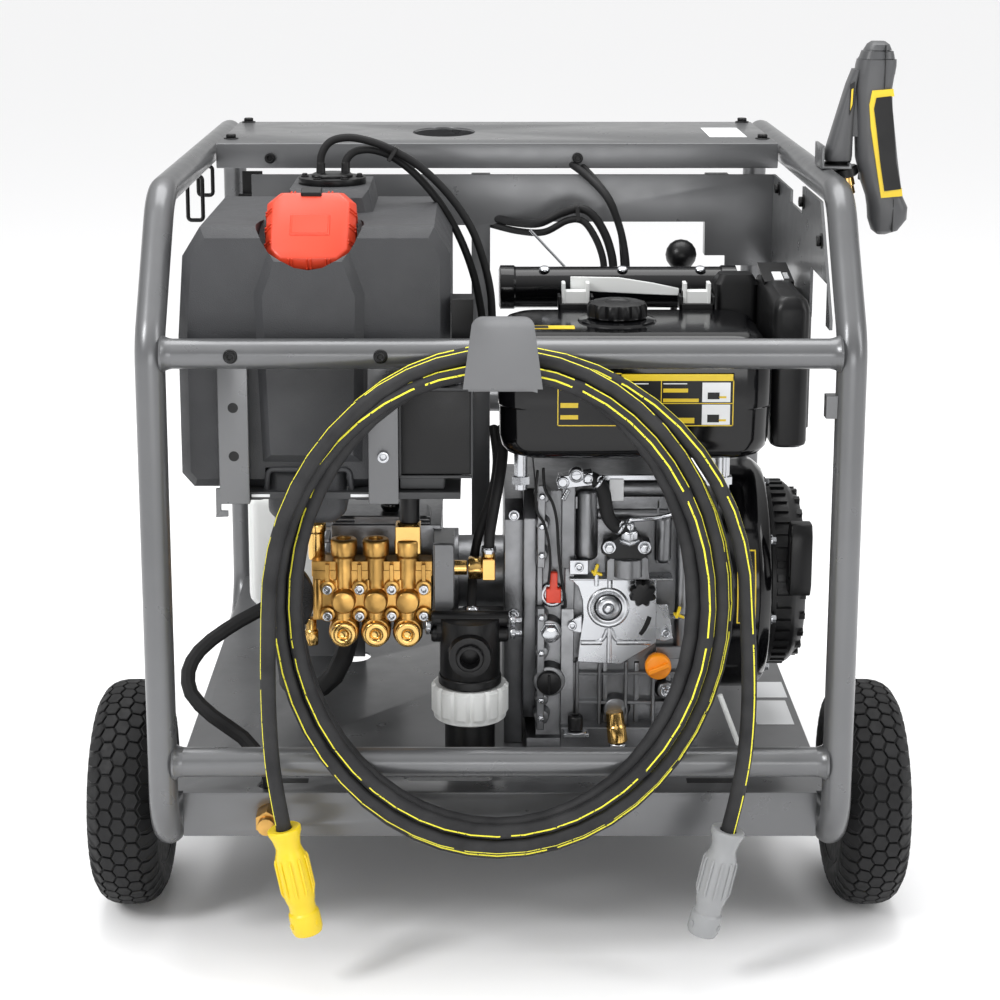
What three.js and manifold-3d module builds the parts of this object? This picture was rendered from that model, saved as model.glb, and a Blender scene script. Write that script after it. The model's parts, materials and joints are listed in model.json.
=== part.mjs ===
// A diesel pressure washer in a tubular cage frame, in millimetres, +Z up.
// X runs across the machine, and Y runs from its front, where the hose hangs, to its back.
// Inside the machine group, y is the depth behind the front tubes' centre plane.
import * as THREE from 'three';
import { mergeVertices } from 'three/addons/utils/BufferGeometryUtils.js';
import Module from 'manifold-3d';

const wasm = await Module();
wasm.setup();

// Driving dimensions
const GAP = 0.3;
const TUBE_R = 15;
const SIDE_X = 344.5;
const REAR_Y = 800;
const TOP_Z = 790;
const BOTTOM_Z = 127;
const SHOULDER_Z = 655;
const SHOULDER_Y = 105;
const BEND_R = 60;
const HOOK_FRONT_Y = -77;
const ORIGIN_Y = (HOOK_FRONT_Y + REAR_Y + TUBE_R) / 2;
const INNER_X = SIDE_X - TUBE_R;
const UPPER_CROSS_Z = 646;
const LOWER_CROSS_Z = 221;
const RAIL_INSET = 20;
const RAIL_Y = [72, 200, 640, 730];

const SHEET = 3;
const TRAY_TOP = 179;
const TRAY_BOTTOM = 131;
const TRAY_X = INNER_X - 1.5;
const FLOOR_X = 340;
const TRAY_FRONT = 20;
const TRAY_REAR = 780;

const WHEEL_R = 122;
const WHEEL_X = 400.5;
const WHEEL_Y = 163;
const WHEEL_HALF = 38;
const AXLE_R = 8;
const FOOT_Y = 600;

const CRANK_Y = 250;
const CRANK_Z = 348;

const PUMP = { left: -200, right: -70, front: 118, rear: 185.5, low: 330, high: 388 };
const BLOCK = { left: 40, right: 210, front: 140, rear: 360, low: 195, high: 470 };

const OUTLET = { x: -239, y: 42, z: 155 };

const HOSE_R = 7.75;
const COIL = { near: -57, far: -19.5 };
const COIL_OUT = { x: 2, z: 395, a: 232, b: 268 };
const COIL_IN = { x: -7, z: 402, a: 189, b: 231 };

const LOOKS = {
  frame: { color: 0x77787a, roughness: 0.45, metalness: 0.3 },
  darkPaint: { color: 0x3b3c3e, roughness: 0.5, metalness: 0.2 },
  tank: { color: 0x3c3d40, roughness: 0.75, metalness: 0 },
  capRed: { color: 0xd8391e, roughness: 0.45, metalness: 0 },
  black: { color: 0x17181a, roughness: 0.4, metalness: 0 },
  rubber: { color: 0x1b1b1d, roughness: 0.85, metalness: 0 },
  rim: { color: 0x2e3033, roughness: 0.5, metalness: 0 },
  steel: { color: 0xb5b7ba, roughness: 0.35, metalness: 0.9 },
  cast: { color: 0x85888b, roughness: 0.55, metalness: 0.7 },
  pressed: { color: 0xc9cbce, roughness: 0.3, metalness: 0.9 },
  brass: { color: 0xb98d42, roughness: 0.35, metalness: 0.9 },
  orange: { color: 0xf08a00, roughness: 0.5, metalness: 0 },
  red: { color: 0xd8401f, roughness: 0.5, metalness: 0 },
  white: { color: 0xe4e5e3, roughness: 0.55, metalness: 0 },
  yellow: { color: 0xf6d520, roughness: 0.45, metalness: 0 },
  grip: { color: 0xa4a6a8, roughness: 0.5, metalness: 0 },
  gunGrey: { color: 0x56585b, roughness: 0.5, metalness: 0 },
};

// A curve that runs straight from key point to key point, so that rings stand only where they are needed.
class KeyCurve extends THREE.Curve {
  constructor(points, closed = false) {
    super();
    this.points = points;
    this.closed = closed;
  }

  getPoint(t) {
    const { points, closed } = this;
    const spans = closed ? points.length : points.length - 1;
    const at = Math.min(Math.max(t, 0), 1) * spans;
    const index = Math.min(Math.floor(at + 1e-9), spans - 1);
    const next = points[(index + 1) % points.length];
    return points[index].clone().lerp(next, at - index);
  }

  getPointAt(u) {
    return this.getPoint(u);
  }

  getTangent(t) {
    const step = 1e-4;
    const ahead = this.closed ? (t + step) % 1 : Math.min(t + step, 1);
    const behind = this.closed ? (t - step + 1) % 1 : Math.max(t - step, 0);
    const here = this.getPoint(t);
    const out = this.getPoint(ahead).sub(here).normalize();
    const back = here.sub(this.getPoint(behind)).normalize();
    return out.add(back).normalize();
  }

  getTangentAt(u) {
    return this.getTangent(u);
  }
}

const vector = ([x, y, z]) => new THREE.Vector3(x, y, z);

// Rounds the corners of a path with arcs of one radius.
function rounded(corners, radius, steps, closed = false) {
  const points = [];
  const count = corners.length;
  corners.forEach((corner, i) => {
    const here = vector(corner);
    if (!closed && (i === 0 || i === count - 1)) {
      points.push(here);
      return;
    }
    const before = vector(corners[(i - 1 + count) % count]);
    const after = vector(corners[(i + 1) % count]);
    const back = before.sub(here).normalize();
    const ahead = after.sub(here).normalize();
    const half = Math.acos(back.dot(ahead)) / 2;
    const centre = back.clone().add(ahead).normalize().multiplyScalar(radius / Math.sin(half)).add(here);
    const run = radius / Math.tan(half);
    const from = here.clone().addScaledVector(back, run).sub(centre);
    const to = here.clone().addScaledVector(ahead, run).sub(centre);
    const sweep = from.angleTo(to);
    for (let k = 0; k <= steps; k += 1) {
      const a = Math.sin((1 - k / steps) * sweep) / Math.sin(sweep);
      const b = Math.sin((k / steps) * sweep) / Math.sin(sweep);
      points.push(centre.clone().addScaledVector(from, a).addScaledVector(to, b));
    }
  });
  return points;
}

function circle(radius, sides) {
  const points = [];
  for (let i = 0; i < sides; i += 1) {
    const angle = (2 * Math.PI * i) / sides;
    points.push(new THREE.Vector2(radius * Math.cos(angle), radius * Math.sin(angle)));
  }
  return new THREE.Shape(points);
}

function openTube(points, radius, sides = 12) {
  return new THREE.ExtrudeGeometry(circle(radius, sides), {
    steps: points.length - 1,
    extrudePath: new KeyCurve(points),
  });
}

function closedTube(points, radius, sides = 12) {
  return new THREE.TubeGeometry(new KeyCurve(points, true), points.length, radius, sides, true);
}

function box([x0, x1], [y0, y1], [z0, z1]) {
  const geometry = new THREE.BoxGeometry(x1 - x0, y1 - y0, z1 - z0);
  return geometry.translate((x0 + x1) / 2, (y0 + y1) / 2, (z0 + z1) / 2);
}

// A prism whose outline is given in XZ, from y = near to y = far, with optional bevels at both faces.
function slabXZ(outline, near, far, bevel = 0) {
  const shape = new THREE.Shape(outline.map(([x, z]) => new THREE.Vector2(x, z)));
  const geometry = new THREE.ExtrudeGeometry(shape, {
    depth: far - near - 2 * bevel,
    bevelEnabled: bevel > 0,
    bevelThickness: bevel,
    bevelSize: bevel,
    bevelOffset: -bevel,
    bevelSegments: 1,
  });
  return geometry.rotateX(Math.PI / 2).translate(0, far - bevel, 0);
}

// A prism whose outline is given in YZ, from x = left to x = right.
function slabYZ(outline, left, right) {
  const shape = new THREE.Shape(outline.map(([y, z]) => new THREE.Vector2(y, z)));
  const geometry = new THREE.ExtrudeGeometry(shape, { depth: right - left, bevelEnabled: false });
  return geometry.rotateX(Math.PI / 2).rotateZ(Math.PI / 2).translate(left, 0, 0);
}

// A turned body about Z. The profile is a list of [radius, height].
function turned(profile, segments = 24) {
  const points = profile.map(([r, h]) => new THREE.Vector2(r, h));
  return new THREE.LatheGeometry(points, segments).rotateX(Math.PI / 2);
}

const disc = (radius, low, high, segments = 20) =>
  turned([[0, low], [radius, low], [radius, high], [0, high]], segments);

const alongX = (geometry) => geometry.rotateY(Math.PI / 2);
const alongY = (geometry) => geometry.rotateX(-Math.PI / 2);
const at = (geometry, x, y, z) => geometry.translate(x, y, z);

const rodX = (radius, left, right, y, z, sides = 16) => at(alongX(disc(radius, left, right, sides)), 0, y, z);
const rodY = (radius, near, far, x, z, sides = 16) => at(alongY(disc(radius, near, far, sides)), x, 0, z);
const rodZ = (radius, low, high, x, y, sides = 16) => at(disc(radius, low, high, sides), x, y, 0);

function solid(geometry) {
  const bare = geometry.clone();
  bare.deleteAttribute('normal');
  bare.deleteAttribute('uv');
  const merged = mergeVertices(bare, 1e-4);
  return new wasm.Manifold(new wasm.Mesh({
    numProp: 3,
    vertProperties: new Float32Array(merged.attributes.position.array),
    triVerts: new Uint32Array(merged.index.array),
  }));
}

function surface(manifold) {
  const mesh = manifold.getMesh();
  const geometry = new THREE.BufferGeometry();
  geometry.setAttribute('position', new THREE.BufferAttribute(mesh.vertProperties, 3));
  geometry.setIndex(new THREE.BufferAttribute(mesh.triVerts, 1));
  return geometry;
}

function join(...geometries) {
  return surface(geometries.map(solid).reduce((whole, next) => whole.add(next)));
}

function cut(geometry, ...tools) {
  return surface(tools.map(solid).reduce((whole, next) => whole.subtract(next), solid(geometry)));
}

const machine = new THREE.Group();
machine.position.y = -ORIGIN_Y;

function piece(name, look, geometry, position = [0, 0, 0], rotation = [0, 0, 0]) {
  const mesh = new THREE.Mesh(geometry, new THREE.MeshStandardMaterial(LOOKS[look]));
  mesh.name = name;
  mesh.position.set(...position);
  mesh.rotation.set(...rotation);
  machine.add(mesh);
  return mesh;
}

const SIDES = [['left', -1], ['right', 1]];

// A side loop's tube: two posts, a top rail, and a bottom rail that steps in under the tray.
function sideLoop(sign, radius) {
  const inset = -sign * RAIL_INSET;
  const [stepIn, inFront, inRear, stepOut] = RAIL_Y;
  const loop = [
    [0, 0, BOTTOM_Z],
    [0, 0, SHOULDER_Z],
    [0, SHOULDER_Y, TOP_Z],
    [0, REAR_Y, TOP_Z],
    [0, REAR_Y, BOTTOM_Z],
    [0, stepOut, BOTTOM_Z],
    [inset, inRear, BOTTOM_Z],
    [inset, inFront, BOTTOM_Z],
    [0, stepIn, BOTTOM_Z],
  ];
  return closedTube(rounded(loop, BEND_R, 5, true), radius);
}

function addFrame() {
  for (const [side, sign] of SIDES) {
    const bored = cut(sideLoop(sign, TUBE_R), rodX(AXLE_R + GAP, -60, 60, WHEEL_Y, WHEEL_R));
    piece(`side_frame_${side}`, 'frame', bored, [sign * SIDE_X, 0, 0]);
  }

  // Cross tubes are coped to the side loops.
  const cope = TUBE_R + 2 * GAP;
  const crossTube = (y, z) => cut(
    rodX(TUBE_R, -SIDE_X, SIDE_X, y, z),
    at(sideLoop(-1, cope), -SIDE_X, 0, 0),
    at(sideLoop(1, cope), SIDE_X, 0, 0),
    box([-2 * SIDE_X, -SIDE_X + 1], [y - 40, y + 40], [z - 40, z + 40]),
    box([SIDE_X - 1, 2 * SIDE_X], [y - 40, y + 40], [z - 40, z + 40]),
  );
  piece('upper_cross_tube', 'frame', crossTube(0, UPPER_CROSS_Z));
  piece('lower_cross_tube', 'frame', crossTube(0, LOWER_CROSS_Z));
  piece('rear_cross_tube', 'frame', crossTube(REAR_Y, 420));
}

function addTray() {
  const outer = box([-TRAY_X, TRAY_X], [TRAY_FRONT, TRAY_REAR], [TRAY_BOTTOM, TRAY_TOP]);
  const inside = box(
    [-TRAY_X + SHEET, TRAY_X - SHEET],
    [TRAY_FRONT + SHEET, TRAY_REAR - SHEET],
    [TRAY_BOTTOM - 1, TRAY_TOP - SHEET],
  );
  const slot = join(
    box([-92, -15], [52, 68], [150, 200]),
    rodZ(8, 150, 200, -92, 60),
    rodZ(8, 150, 200, -15, 60),
  );
  const drain = rodZ(21, 150, 200, -174, 446, 20);
  const floor = box([-FLOOR_X, FLOOR_X], [TRAY_FRONT + 6, TRAY_REAR - 6], [TRAY_TOP - SHEET, TRAY_TOP]);
  const railTop = BOTTOM_Z + TUBE_R + SHEET;
  const railWay = box([-TRAY_X - 1, TRAY_X + 1], [TRAY_FRONT + 20, TRAY_REAR - 20], [TRAY_BOTTOM - 1, railTop]);
  const outletWay = rodY(12, 0, 40, OUTLET.x, OUTLET.z);
  const hoseWay = rodZ(13, 150, 200, OUTLET.x, OUTLET.y);
  const floatBracket = box([-240, -160], [446, 449], [TRAY_TOP - 1, 330]);
  const tray = cut(join(cut(outer, inside, railWay), floor), slot, drain, outletWay, hoseWay);
  piece('base_tray', 'frame', join(tray, floatBracket));
}

function addPanels() {
  const [near, far] = [451, 718];
  const top = TOP_Z + TUBE_R;
  const outer = box([-TRAY_X, TRAY_X], [near, far], [top - 29, top]);
  const inside = box([-TRAY_X - 1, TRAY_X + 1], [near + SHEET, far - SHEET], [top - 40, top - SHEET]);
  const port = at(disc(38, top - 10, top + 10, 24).scale(1, 1.6, 1), -64, 590, 0);
  piece('top_panel', 'frame', cut(outer, inside, port));

  const panel = join(
    box([-288, 55], [458, 461], [708, 768]),
    box([52, 248], [458, 461], [712, 768]),
    box([245, 272], [458, 478], [672, 768]),
    box([269, 327], [458, 461], [660, 768]),
    box([-30, -8], [458, 476], [TRAY_TOP + GAP, 768]),
  );
  piece('rear_panel', 'frame', panel);

  // The gusset fills the corner between the upright and the rear panel, open above and below.
  const gusset = [
    [17, 666], [17, 676], [100, 783], [225, 783], [225, 754], [313, 754], [313, 768], [456, 768], [456, 655],
    [151, 655], [151, 708], [42, 708], [42, 666],
  ];
  piece('side_gusset', 'frame', slabYZ(gusset, 324, 327));
}

// The hook's shelf is arched to the curve of the coil's inside.
function addHook() {
  const front = HOOK_FRONT_Y;
  const back = -TUBE_R - GAP;
  const rest = (x) => COIL_IN.z + COIL_IN.b * Math.sqrt(1 - ((x - COIL_IN.x) / COIL_IN.a) ** 2) - 1;
  const across = [-32, -21, -10, 1, 12, 23, 34];
  const over = across.map((x) => [x, rest(x)]);
  const under = across.map((x) => [x, rest(x) - SHEET]).reverse();
  const plate = new THREE.Shape();
  plate.moveTo(-37, 627);
  plate.lineTo(39, 627);
  plate.lineTo(31, 686);
  plate.absarc(20, 686, 11, 0, Math.PI / 2, false);
  plate.lineTo(-18, 697);
  plate.absarc(-18, 686, 11, Math.PI / 2, Math.PI, false);
  const outline = plate.getPoints(4).map((p) => [p.x, p.y]);
  const body = join(
    slabXZ(outline, front, front + SHEET),
    slabXZ([...over, ...under], front + 1, back),
    box([-32, 34], [back - SHEET, back], [612, 631]),
  );
  piece('hose_hook', 'frame', body);
}

function addWheels() {
  const axleEnd = WHEEL_X + WHEEL_HALF;
  piece('axle', 'steel', rodX(AXLE_R, -axleEnd, axleEnd, WHEEL_Y, WHEEL_R));
  const hub = WHEEL_HALF - 2;
  const barrel = WHEEL_HALF - 9;
  const rim = [
    [AXLE_R + GAP, -hub], [18, -hub], [20, -9], [54, -5], [60, -barrel], [67.5, -barrel],
    [67.5, barrel], [60, barrel], [54, 5], [20, 9], [18, hub], [AXLE_R + GAP, hub], [AXLE_R + GAP, -hub],
  ];
  const tyre = [
    [68, -26], [80, -35], [95, -WHEEL_HALF], [108, -34], [118, -23], [WHEEL_R, -9],
    [WHEEL_R, 9], [118, 23], [108, 34], [95, WHEEL_HALF], [80, 35], [68, 26], [68, -26],
  ];
  for (const [side, sign] of SIDES) {
    const place = [sign * WHEEL_X, WHEEL_Y, WHEEL_R];
    piece(`wheel_rim_${side}`, 'rim', alongX(turned(rim, 24)), place);
    piece(`tyre_${side}`, 'rubber', alongX(turned(tyre, 32)), place);
    const saddle = BOTTOM_Z - 8;
    const foot = join(
      rodZ(14, 18, saddle, 0, 0, 12),
      disc(26, 0, 20, 16),
      box([-18, 18], [-22, 22], [saddle - 20, saddle]),
    );
    const under = rodY(TUBE_R + GAP, -60, 60, 0, BOTTOM_Z, 24);
    piece(`rear_foot_${side}`, 'rubber', cut(foot, under), [sign * (SIDE_X - RAIL_INSET), FOOT_Y, 0]);
  }
}

const TANK = { near: 35, far: 290, low: 500, high: 765, left: -322, right: -50 };
const CAP = { x: -190, y: 82, z: 748, tilt: 50 * (Math.PI / 180) };

const onCapAxis = (geometry) => at(geometry.rotateX(CAP.tilt), CAP.x, CAP.y, CAP.z);

function addTank() {
  const outline = [
    [TANK.left, TANK.low + 14], [TANK.left + 12, TANK.low], [TANK.right, TANK.low], [TANK.right, 738],
    [-66, TANK.high], [-298, TANK.high], [-316, 736], [TANK.left, 655],
  ];
  const body = slabXZ(outline, TANK.near, TANK.far, 10);
  const dome = slabXZ([[-226, 750], [-128, 750], [-136, 788], [-218, 788]], 150, 280, 8);
  const columnFront = [[-242, 525], [-136, 525], [-132, 700], [-148, 745], [-232, 745], [-248, 700]];
  const column = slabXZ(columnFront, 26, 120, 12);
  const capSeat = onCapAxis(disc(46, -70, 0, 24));
  const neck = onCapAxis(disc(30, -6, 14, 24));
  const capWay = onCapAxis(disc(54, 0, 80, 24));
  const notch = box([-104, 0], [0, 330], [480, 606]);
  const sumpWay = box([-237, -155], [0, 330], [480, 522]);
  piece('fuel_tank', 'tank', join(cut(join(body, dome, column, capSeat), capWay, notch, sumpWay), neck));

  const sump = [[-236, 472], [-224, 460], [-168, 460], [-156, 472], [-156, 521.5], [-236, 521.5]];
  piece('tank_sump', 'darkPaint', slabXZ(sump, 40, 240, 8));

  const cap = turned([[0, 18], [34, 18], [34, GAP], [50, GAP], [50, 20], [43, 27], [0, 27]], 8);
  const turn = new THREE.Group();
  turn.position.set(CAP.x, CAP.y, CAP.z);
  turn.rotation.x = CAP.tilt;
  machine.add(turn);
  turn.add(piece('fuel_tank_cap', 'capRed', cap, [0, 0, 0], [0, 0, Math.PI / 8]));

  const sender = join(
    disc(36, GAP, 7, 24),
    at(disc(5, 3, 22, 10), -12, 0, 0),
    at(disc(5, 3, 22, 10), 14, 4, 0),
  );
  piece('tank_sender', 'black', sender, [-177, 212, 788]);

  for (const [side, x] of [['left', -266], ['right', -117]]) {
    const strap = join(
      box([-15, 15], [TUBE_R + GAP, TUBE_R + GAP + SHEET], [489, 655]),
      box([-15, 15], [TUBE_R + GAP, 60], [489, 489 + SHEET]),
    );
    piece(`tank_strap_${side}`, 'frame', strap, [x, 0, 0]);
  }

  const rail = join(
    box([-282, -40], [22, 285], [492 + GAP, TANK.low - GAP]),
    box([-100, -56], [40, 200], [499, 515]),
  );
  piece('tank_rail', 'darkPaint', cut(rail, box([-238, -154], [30, 250], [480, 520])));
  piece('battery', 'black', box([-101, -29], [30, 210], [515 + GAP, 603]));
}

function addEngine() {
  const bore = () => rodX(12 + GAP, -200, 300, CRANK_Y, CRANK_Z, 20);
  const ribs = [];
  for (const x of [78, 112, 146, 180]) {
    ribs.push(box([x, x + 5], [BLOCK.front - 6, BLOCK.front + 2], [205, 280]));
  }
  const block = join(
    box([BLOCK.left, BLOCK.right], [BLOCK.front, BLOCK.rear], [BLOCK.low, BLOCK.high]),
    box([30, 215], [130, 380], [TRAY_TOP + GAP, BLOCK.low + 1]),
    box([60, 200], [330, 420], [260, 500]),
    rodX(95, BLOCK.right - 5, 239.5, CRANK_Y, CRANK_Z, 28),
    ...ribs,
  );
  piece('engine_block', 'cast', cut(block, bore()));

  const cover = slabYZ(
    [[150, 212], [350, 212], [365, 240], [365, 440], [340, 467], [160, 467], [135, 440], [135, 240]],
    26, BLOCK.left - GAP,
  );
  piece('gear_cover', 'cast', cut(cover, bore()));

  const tankFront = [
    [24, 519], [252, 519], [278, 545], [278, 639], [266, 651], [10, 651], [-2, 639], [-2, 545],
  ];
  piece('engine_fuel_tank', 'black', join(slabXZ(tankFront, 60, 240, 12), rodZ(24, 641, 663, 123, 150, 20)));
  const engineCap = turned([[0, 13], [26, 13], [26, 0.8], [32, 0.8], [32, 17], [29, 21], [0, 21]], 20);
  piece('engine_fuel_cap', 'black', engineCap, [123, 150, 651]);

  const muffler = slabYZ(
    [[310, 632], [342, 632], [352, 642], [352, 671], [342, 681], [310, 681], [300, 671], [300, 642]],
    1, 268,
  );
  piece('muffler', 'black', join(muffler, rodZ(16, 500 + GAP, 640, 130, 350)));

  const filter = join(
    box([282, 320], [110, 290], [523, 682]),
    box([258, 283], [246, 290], [560, 682]),
  );
  piece('air_filter', 'black', filter);

  const shroud = turned([[0, 0], [128, 0], [128, 40], [118, 52], [0, 52]], 32);
  piece('fan_shroud', 'black', alongX(shroud), [240, CRANK_Y, CRANK_Z]);
  const recoil = turned([[0, GAP], [101, GAP], [101, 26], [88, 40], [40, 46], [0, 46]], 28);
  piece('recoil_starter', 'black', alongX(recoil), [292, CRANK_Y, CRANK_Z]);
  const grip = [[124, 358], [140, 358], [146, 371], [146, 424], [140, 437], [124, 437], [118, 424], [118, 371]];
  const pull = slabYZ(grip, 308, 331);
  const fingerGap = box([304, 335], [127, 137], [375, 420]);
  piece('starter_handle', 'black', cut(pull, fingerGap));

  const plate = [[85, 286], [124, 283], [167, 310], [167, 380], [73, 380], [73, 372], [86, 362], [88, 322]];
  const governor = join(slabXZ(plate, 122, BLOCK.front - GAP, 2), rodY(20, 117, 130, 116, 347, 20));
  piece('governor_cover', 'pressed', governor);
  const lever = join(rodY(14, 100, 114, 151, 367), rodY(5, 113, 122 - GAP, 151, 367, 10));
  piece('speed_lever', 'black', lever);

  const pump = join(
    box([112, 154], [112, BLOCK.front - GAP], [384, 440]),
    rodZ(9, 430, 462, 133, 126, 12),
  );
  piece('injection_pump', 'cast', pump);
  piece('oil_filler_plug', 'orange', rodY(14, 114, BLOCK.front - 6 - GAP, 170, 281, 20));
  const decompression = join(
    box([50, 66], [124, BLOCK.front - GAP], [350, 366]),
    box([54, 62], [124, 132], [364, 384]),
  );
  piece('decompression_lever', 'red', decompression);

  const stick = openTube([[195, 400, 502], [197, 400, 560], [212, 400, 670]].map(vector), 4, 8);
  const ball = new THREE.SphereGeometry(18, 16, 12).translate(212, 400, 682);
  piece('control_knob', 'black', join(stick, ball));

  piece('crankshaft', 'steel', rodX(12, -61, 239, CRANK_Y, CRANK_Z, 20));
}

const VALVE_X = [-165, -131, -97];

function addPump() {
  const parts = [box([PUMP.left, PUMP.right], [PUMP.front, PUMP.rear], [PUMP.low, PUMP.high])];
  for (const x of VALVE_X) {
    parts.push(rodZ(14, PUMP.high - 5, 406, x, 145));
    parts.push(rodY(13.5, 104, PUMP.front + 5, x, 321));
    parts.push(rodY(12, 110, PUMP.front + 5, x, 355));
    parts.push(box([x - 14, x + 14], [PUMP.front - 6, 150], [308, PUMP.low + 2]));
  }
  parts.push(box([-108, -82], [127, 153], [PUMP.high - 2, 436]));
  parts.push(rodX(11, -212, PUMP.left + 5, 150, 343, 12));
  piece('pump_manifold', 'brass', join(...parts));
  piece('regulator_knob', 'black', rodZ(11, 436 + GAP, 470, -95, 140));

  const bore = rodX(12 + GAP, -61.5, 300, CRANK_Y, CRANK_Z, 20);
  const fins = [];
  for (let z = 312; z < 416; z += 14) {
    fins.push(box([-190, -62.3], [PUMP.rear + 8, 330], [z, z + 5]));
  }
  const crankcase = join(box([-182, -62.3], [PUMP.rear + GAP, 320], [300, 419]), ...fins);
  piece('pump_crankcase', 'black', crankcase);

  const adapter = join(
    rodX(48, -62, -44, CRANK_Y, CRANK_Z, 28),
    rodX(40, -45, 10, CRANK_Y, CRANK_Z, 28),
    slabYZ([[150, 300], [345, 300], [345, 440], [325, 452], [175, 452], [150, 435]], 6, 26 - GAP),
    box([6, 26 - GAP], [160, 340], [TRAY_TOP + GAP, 305]),
  );
  piece('pump_adapter', 'cast', cut(adapter, bore));

  const fx = -31;
  const fy = 110;
  const filterBody = join(
    rodZ(32, 268, 340, fx, fy, 20),
    rodY(22, 66, fy, fx, 309, 20),
    rodX(12, -66, fx, fy, 326, 12),
    box([fx, 5.5], [145, 165], [312, 334]),
    rodY(14, fy, 160, fx, 323, 12),
  );
  piece('filter_body', 'black', cut(filterBody, rodY(13, 60, 100, fx, 309, 20)));
  const nut = turned([[27.3, 230], [38, 230], [41, 236], [41, 267.7], [27.3, 267.7], [27.3, 230]], 20);
  piece('filter_nut', 'white', nut, [fx, fy, 0]);
  const bowl = turned([[0, 181], [22, 181], [26.7, 188], [26.7, 267.6], [22, 267.6], [22, 192], [0, 192]], 20);
  piece('filter_bowl', 'black', bowl, [fx, fy, 0]);

  const fitting = join(
    rodY(9, -14, 44, OUTLET.x, OUTLET.z, 14),
    rodY(13, -4, TRAY_FRONT - GAP, OUTLET.x, OUTLET.z, 6),
    rodY(13, TRAY_FRONT + SHEET + GAP, 34, OUTLET.x, OUTLET.z, 6),
    rodZ(7, OUTLET.z, OUTLET.z + 17, OUTLET.x, OUTLET.y - 4.5, 10),
  );
  piece('outlet_fitting', 'brass', fitting);

  const pressureRoute = new THREE.CatmullRomCurve3([
    [-212.4, 150, 343], [-238, 150, 342.5], [-264, 140, 333], [-292, 125, 320], [-318, 106, 303], [-328, 90, 286],
    [-324, 78, 266], [-300, 66, 245], [-268, 55, 226], [-248, 43, 205], [OUTLET.x, OUTLET.y - 4.5, 188],
    [OUTLET.x, OUTLET.y - 4.5, OUTLET.z + 17 + 3 * GAP],
  ].map(vector));
  piece('pressure_hose_inner', 'rubber', openTube(pressureRoute.getPoints(22), HOSE_R, 10));
  const suctionRoute = new THREE.CatmullRomCurve3([
    [-230, 342, 296], [-233, 318, 290], [-240, 268, 256], [-230, 205, 228], [-206, 165, 236],
    [-182, 160, 252], [-166, 168, 284], [-163, 170, 308], [-163, 170, PUMP.low - 5 * GAP],
  ].map(vector));
  piece('suction_hose', 'rubber', openTube(suctionRoute.getPoints(14), 11, 10));

  const floatFront = [[-270, 262], [-112, 262], [-112, 410], [-290, 410], [-290, 282]];
  piece('float_tank', 'white', slabXZ(floatFront, 345, 445, 8));
}

function addGun() {
  const body = [
    [386, 936], [374, 911], [370, 898], [343, 820], [344, 812], [366, 812], [371, 836], [375.5, 836],
    [376, 806], [392, 753], [399, 736], [414, 733], [433, 753], [432, 769], [426, 777], [416.5, 844],
    [412, 888], [415, 921], [406, 935],
  ];
  const triggerHousing = box([380, 406], [225, 250], [863, 886]);
  piece('gun_body', 'gunGrey', join(slabXZ(body, 195, 233, 5), triggerHousing));
  piece('gun_trigger', 'black', box([386, 400], [239.5, 246.5], [788, 862.5]));
  const holder = join(
    box([338, 370], [190, 238], [805 + GAP, 808]),
    box([338, 341], [190, 238], [806, 830]),
    box([367, 370], [190, 238], [806, 811]),
  );
  piece('gun_holder', 'frame', holder);
}

function addHose() {
  const ellipse = ({ x, z, a, b }, spare) =>
    at(alongY(disc(1, COIL.near - spare, COIL.far + spare, 40).scale(a, b, 1)), x, 0, z);
  const outer = ellipse(COIL_OUT, 0);
  const inner = ellipse(COIL_IN, 5);
  piece('hose_coil', 'rubber', cut(outer, inner));

  const leftRoute = new THREE.CatmullRomCurve3([
    [-227, -65.5, 400], [-228.5, -66, 345], [-228.5, -66, 295], [-226, -65.5, 245],
    [-221, -64, 205], [-216.5, -63, 177.5],
  ].map(vector));
  piece('hose_tail_left', 'rubber', openTube(leftRoute.getPoints(14), HOSE_R, 10));
  const rightRoute = new THREE.CatmullRomCurve3([
    [243, -38, 400], [246, -41, 345], [246.5, -45, 295], [243, -50, 245],
    [236, -53, 205], [228.5, -55, 172.2],
  ].map(vector));
  piece('hose_tail_right', 'rubber', openTube(rightRoute.getPoints(14), HOSE_R, 10));

  const connector = [
    [0, 0], [17, 0], [17, -6], [13, -22], [15, -40], [16, -70], [13, -84], [13, -100], [15, -104], [15, -114],
    [0, -114],
  ].reverse();
  piece('connector_yellow', 'yellow', turned(connector, 16), [-216.3, -63, 176.7], [0, -0.2, 0]);
  piece('connector_grey', 'grip', turned(connector, 16), [228.3, -55, 171.4], [0, 0.215, 0]);
}

addFrame();
addTray();
addPanels();
addHook();
addWheels();
addTank();
addEngine();
addPump();
addGun();
addHose();

export default machine;
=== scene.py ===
"""The looks of a diesel pressure washer in a cage frame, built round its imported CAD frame.

Places are in the machine's own millimetres: x across, y the depth behind the front tubes, z up.
"""
import json
import math

import bmesh
import bpy
from mathutils import Matrix, Vector


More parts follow.
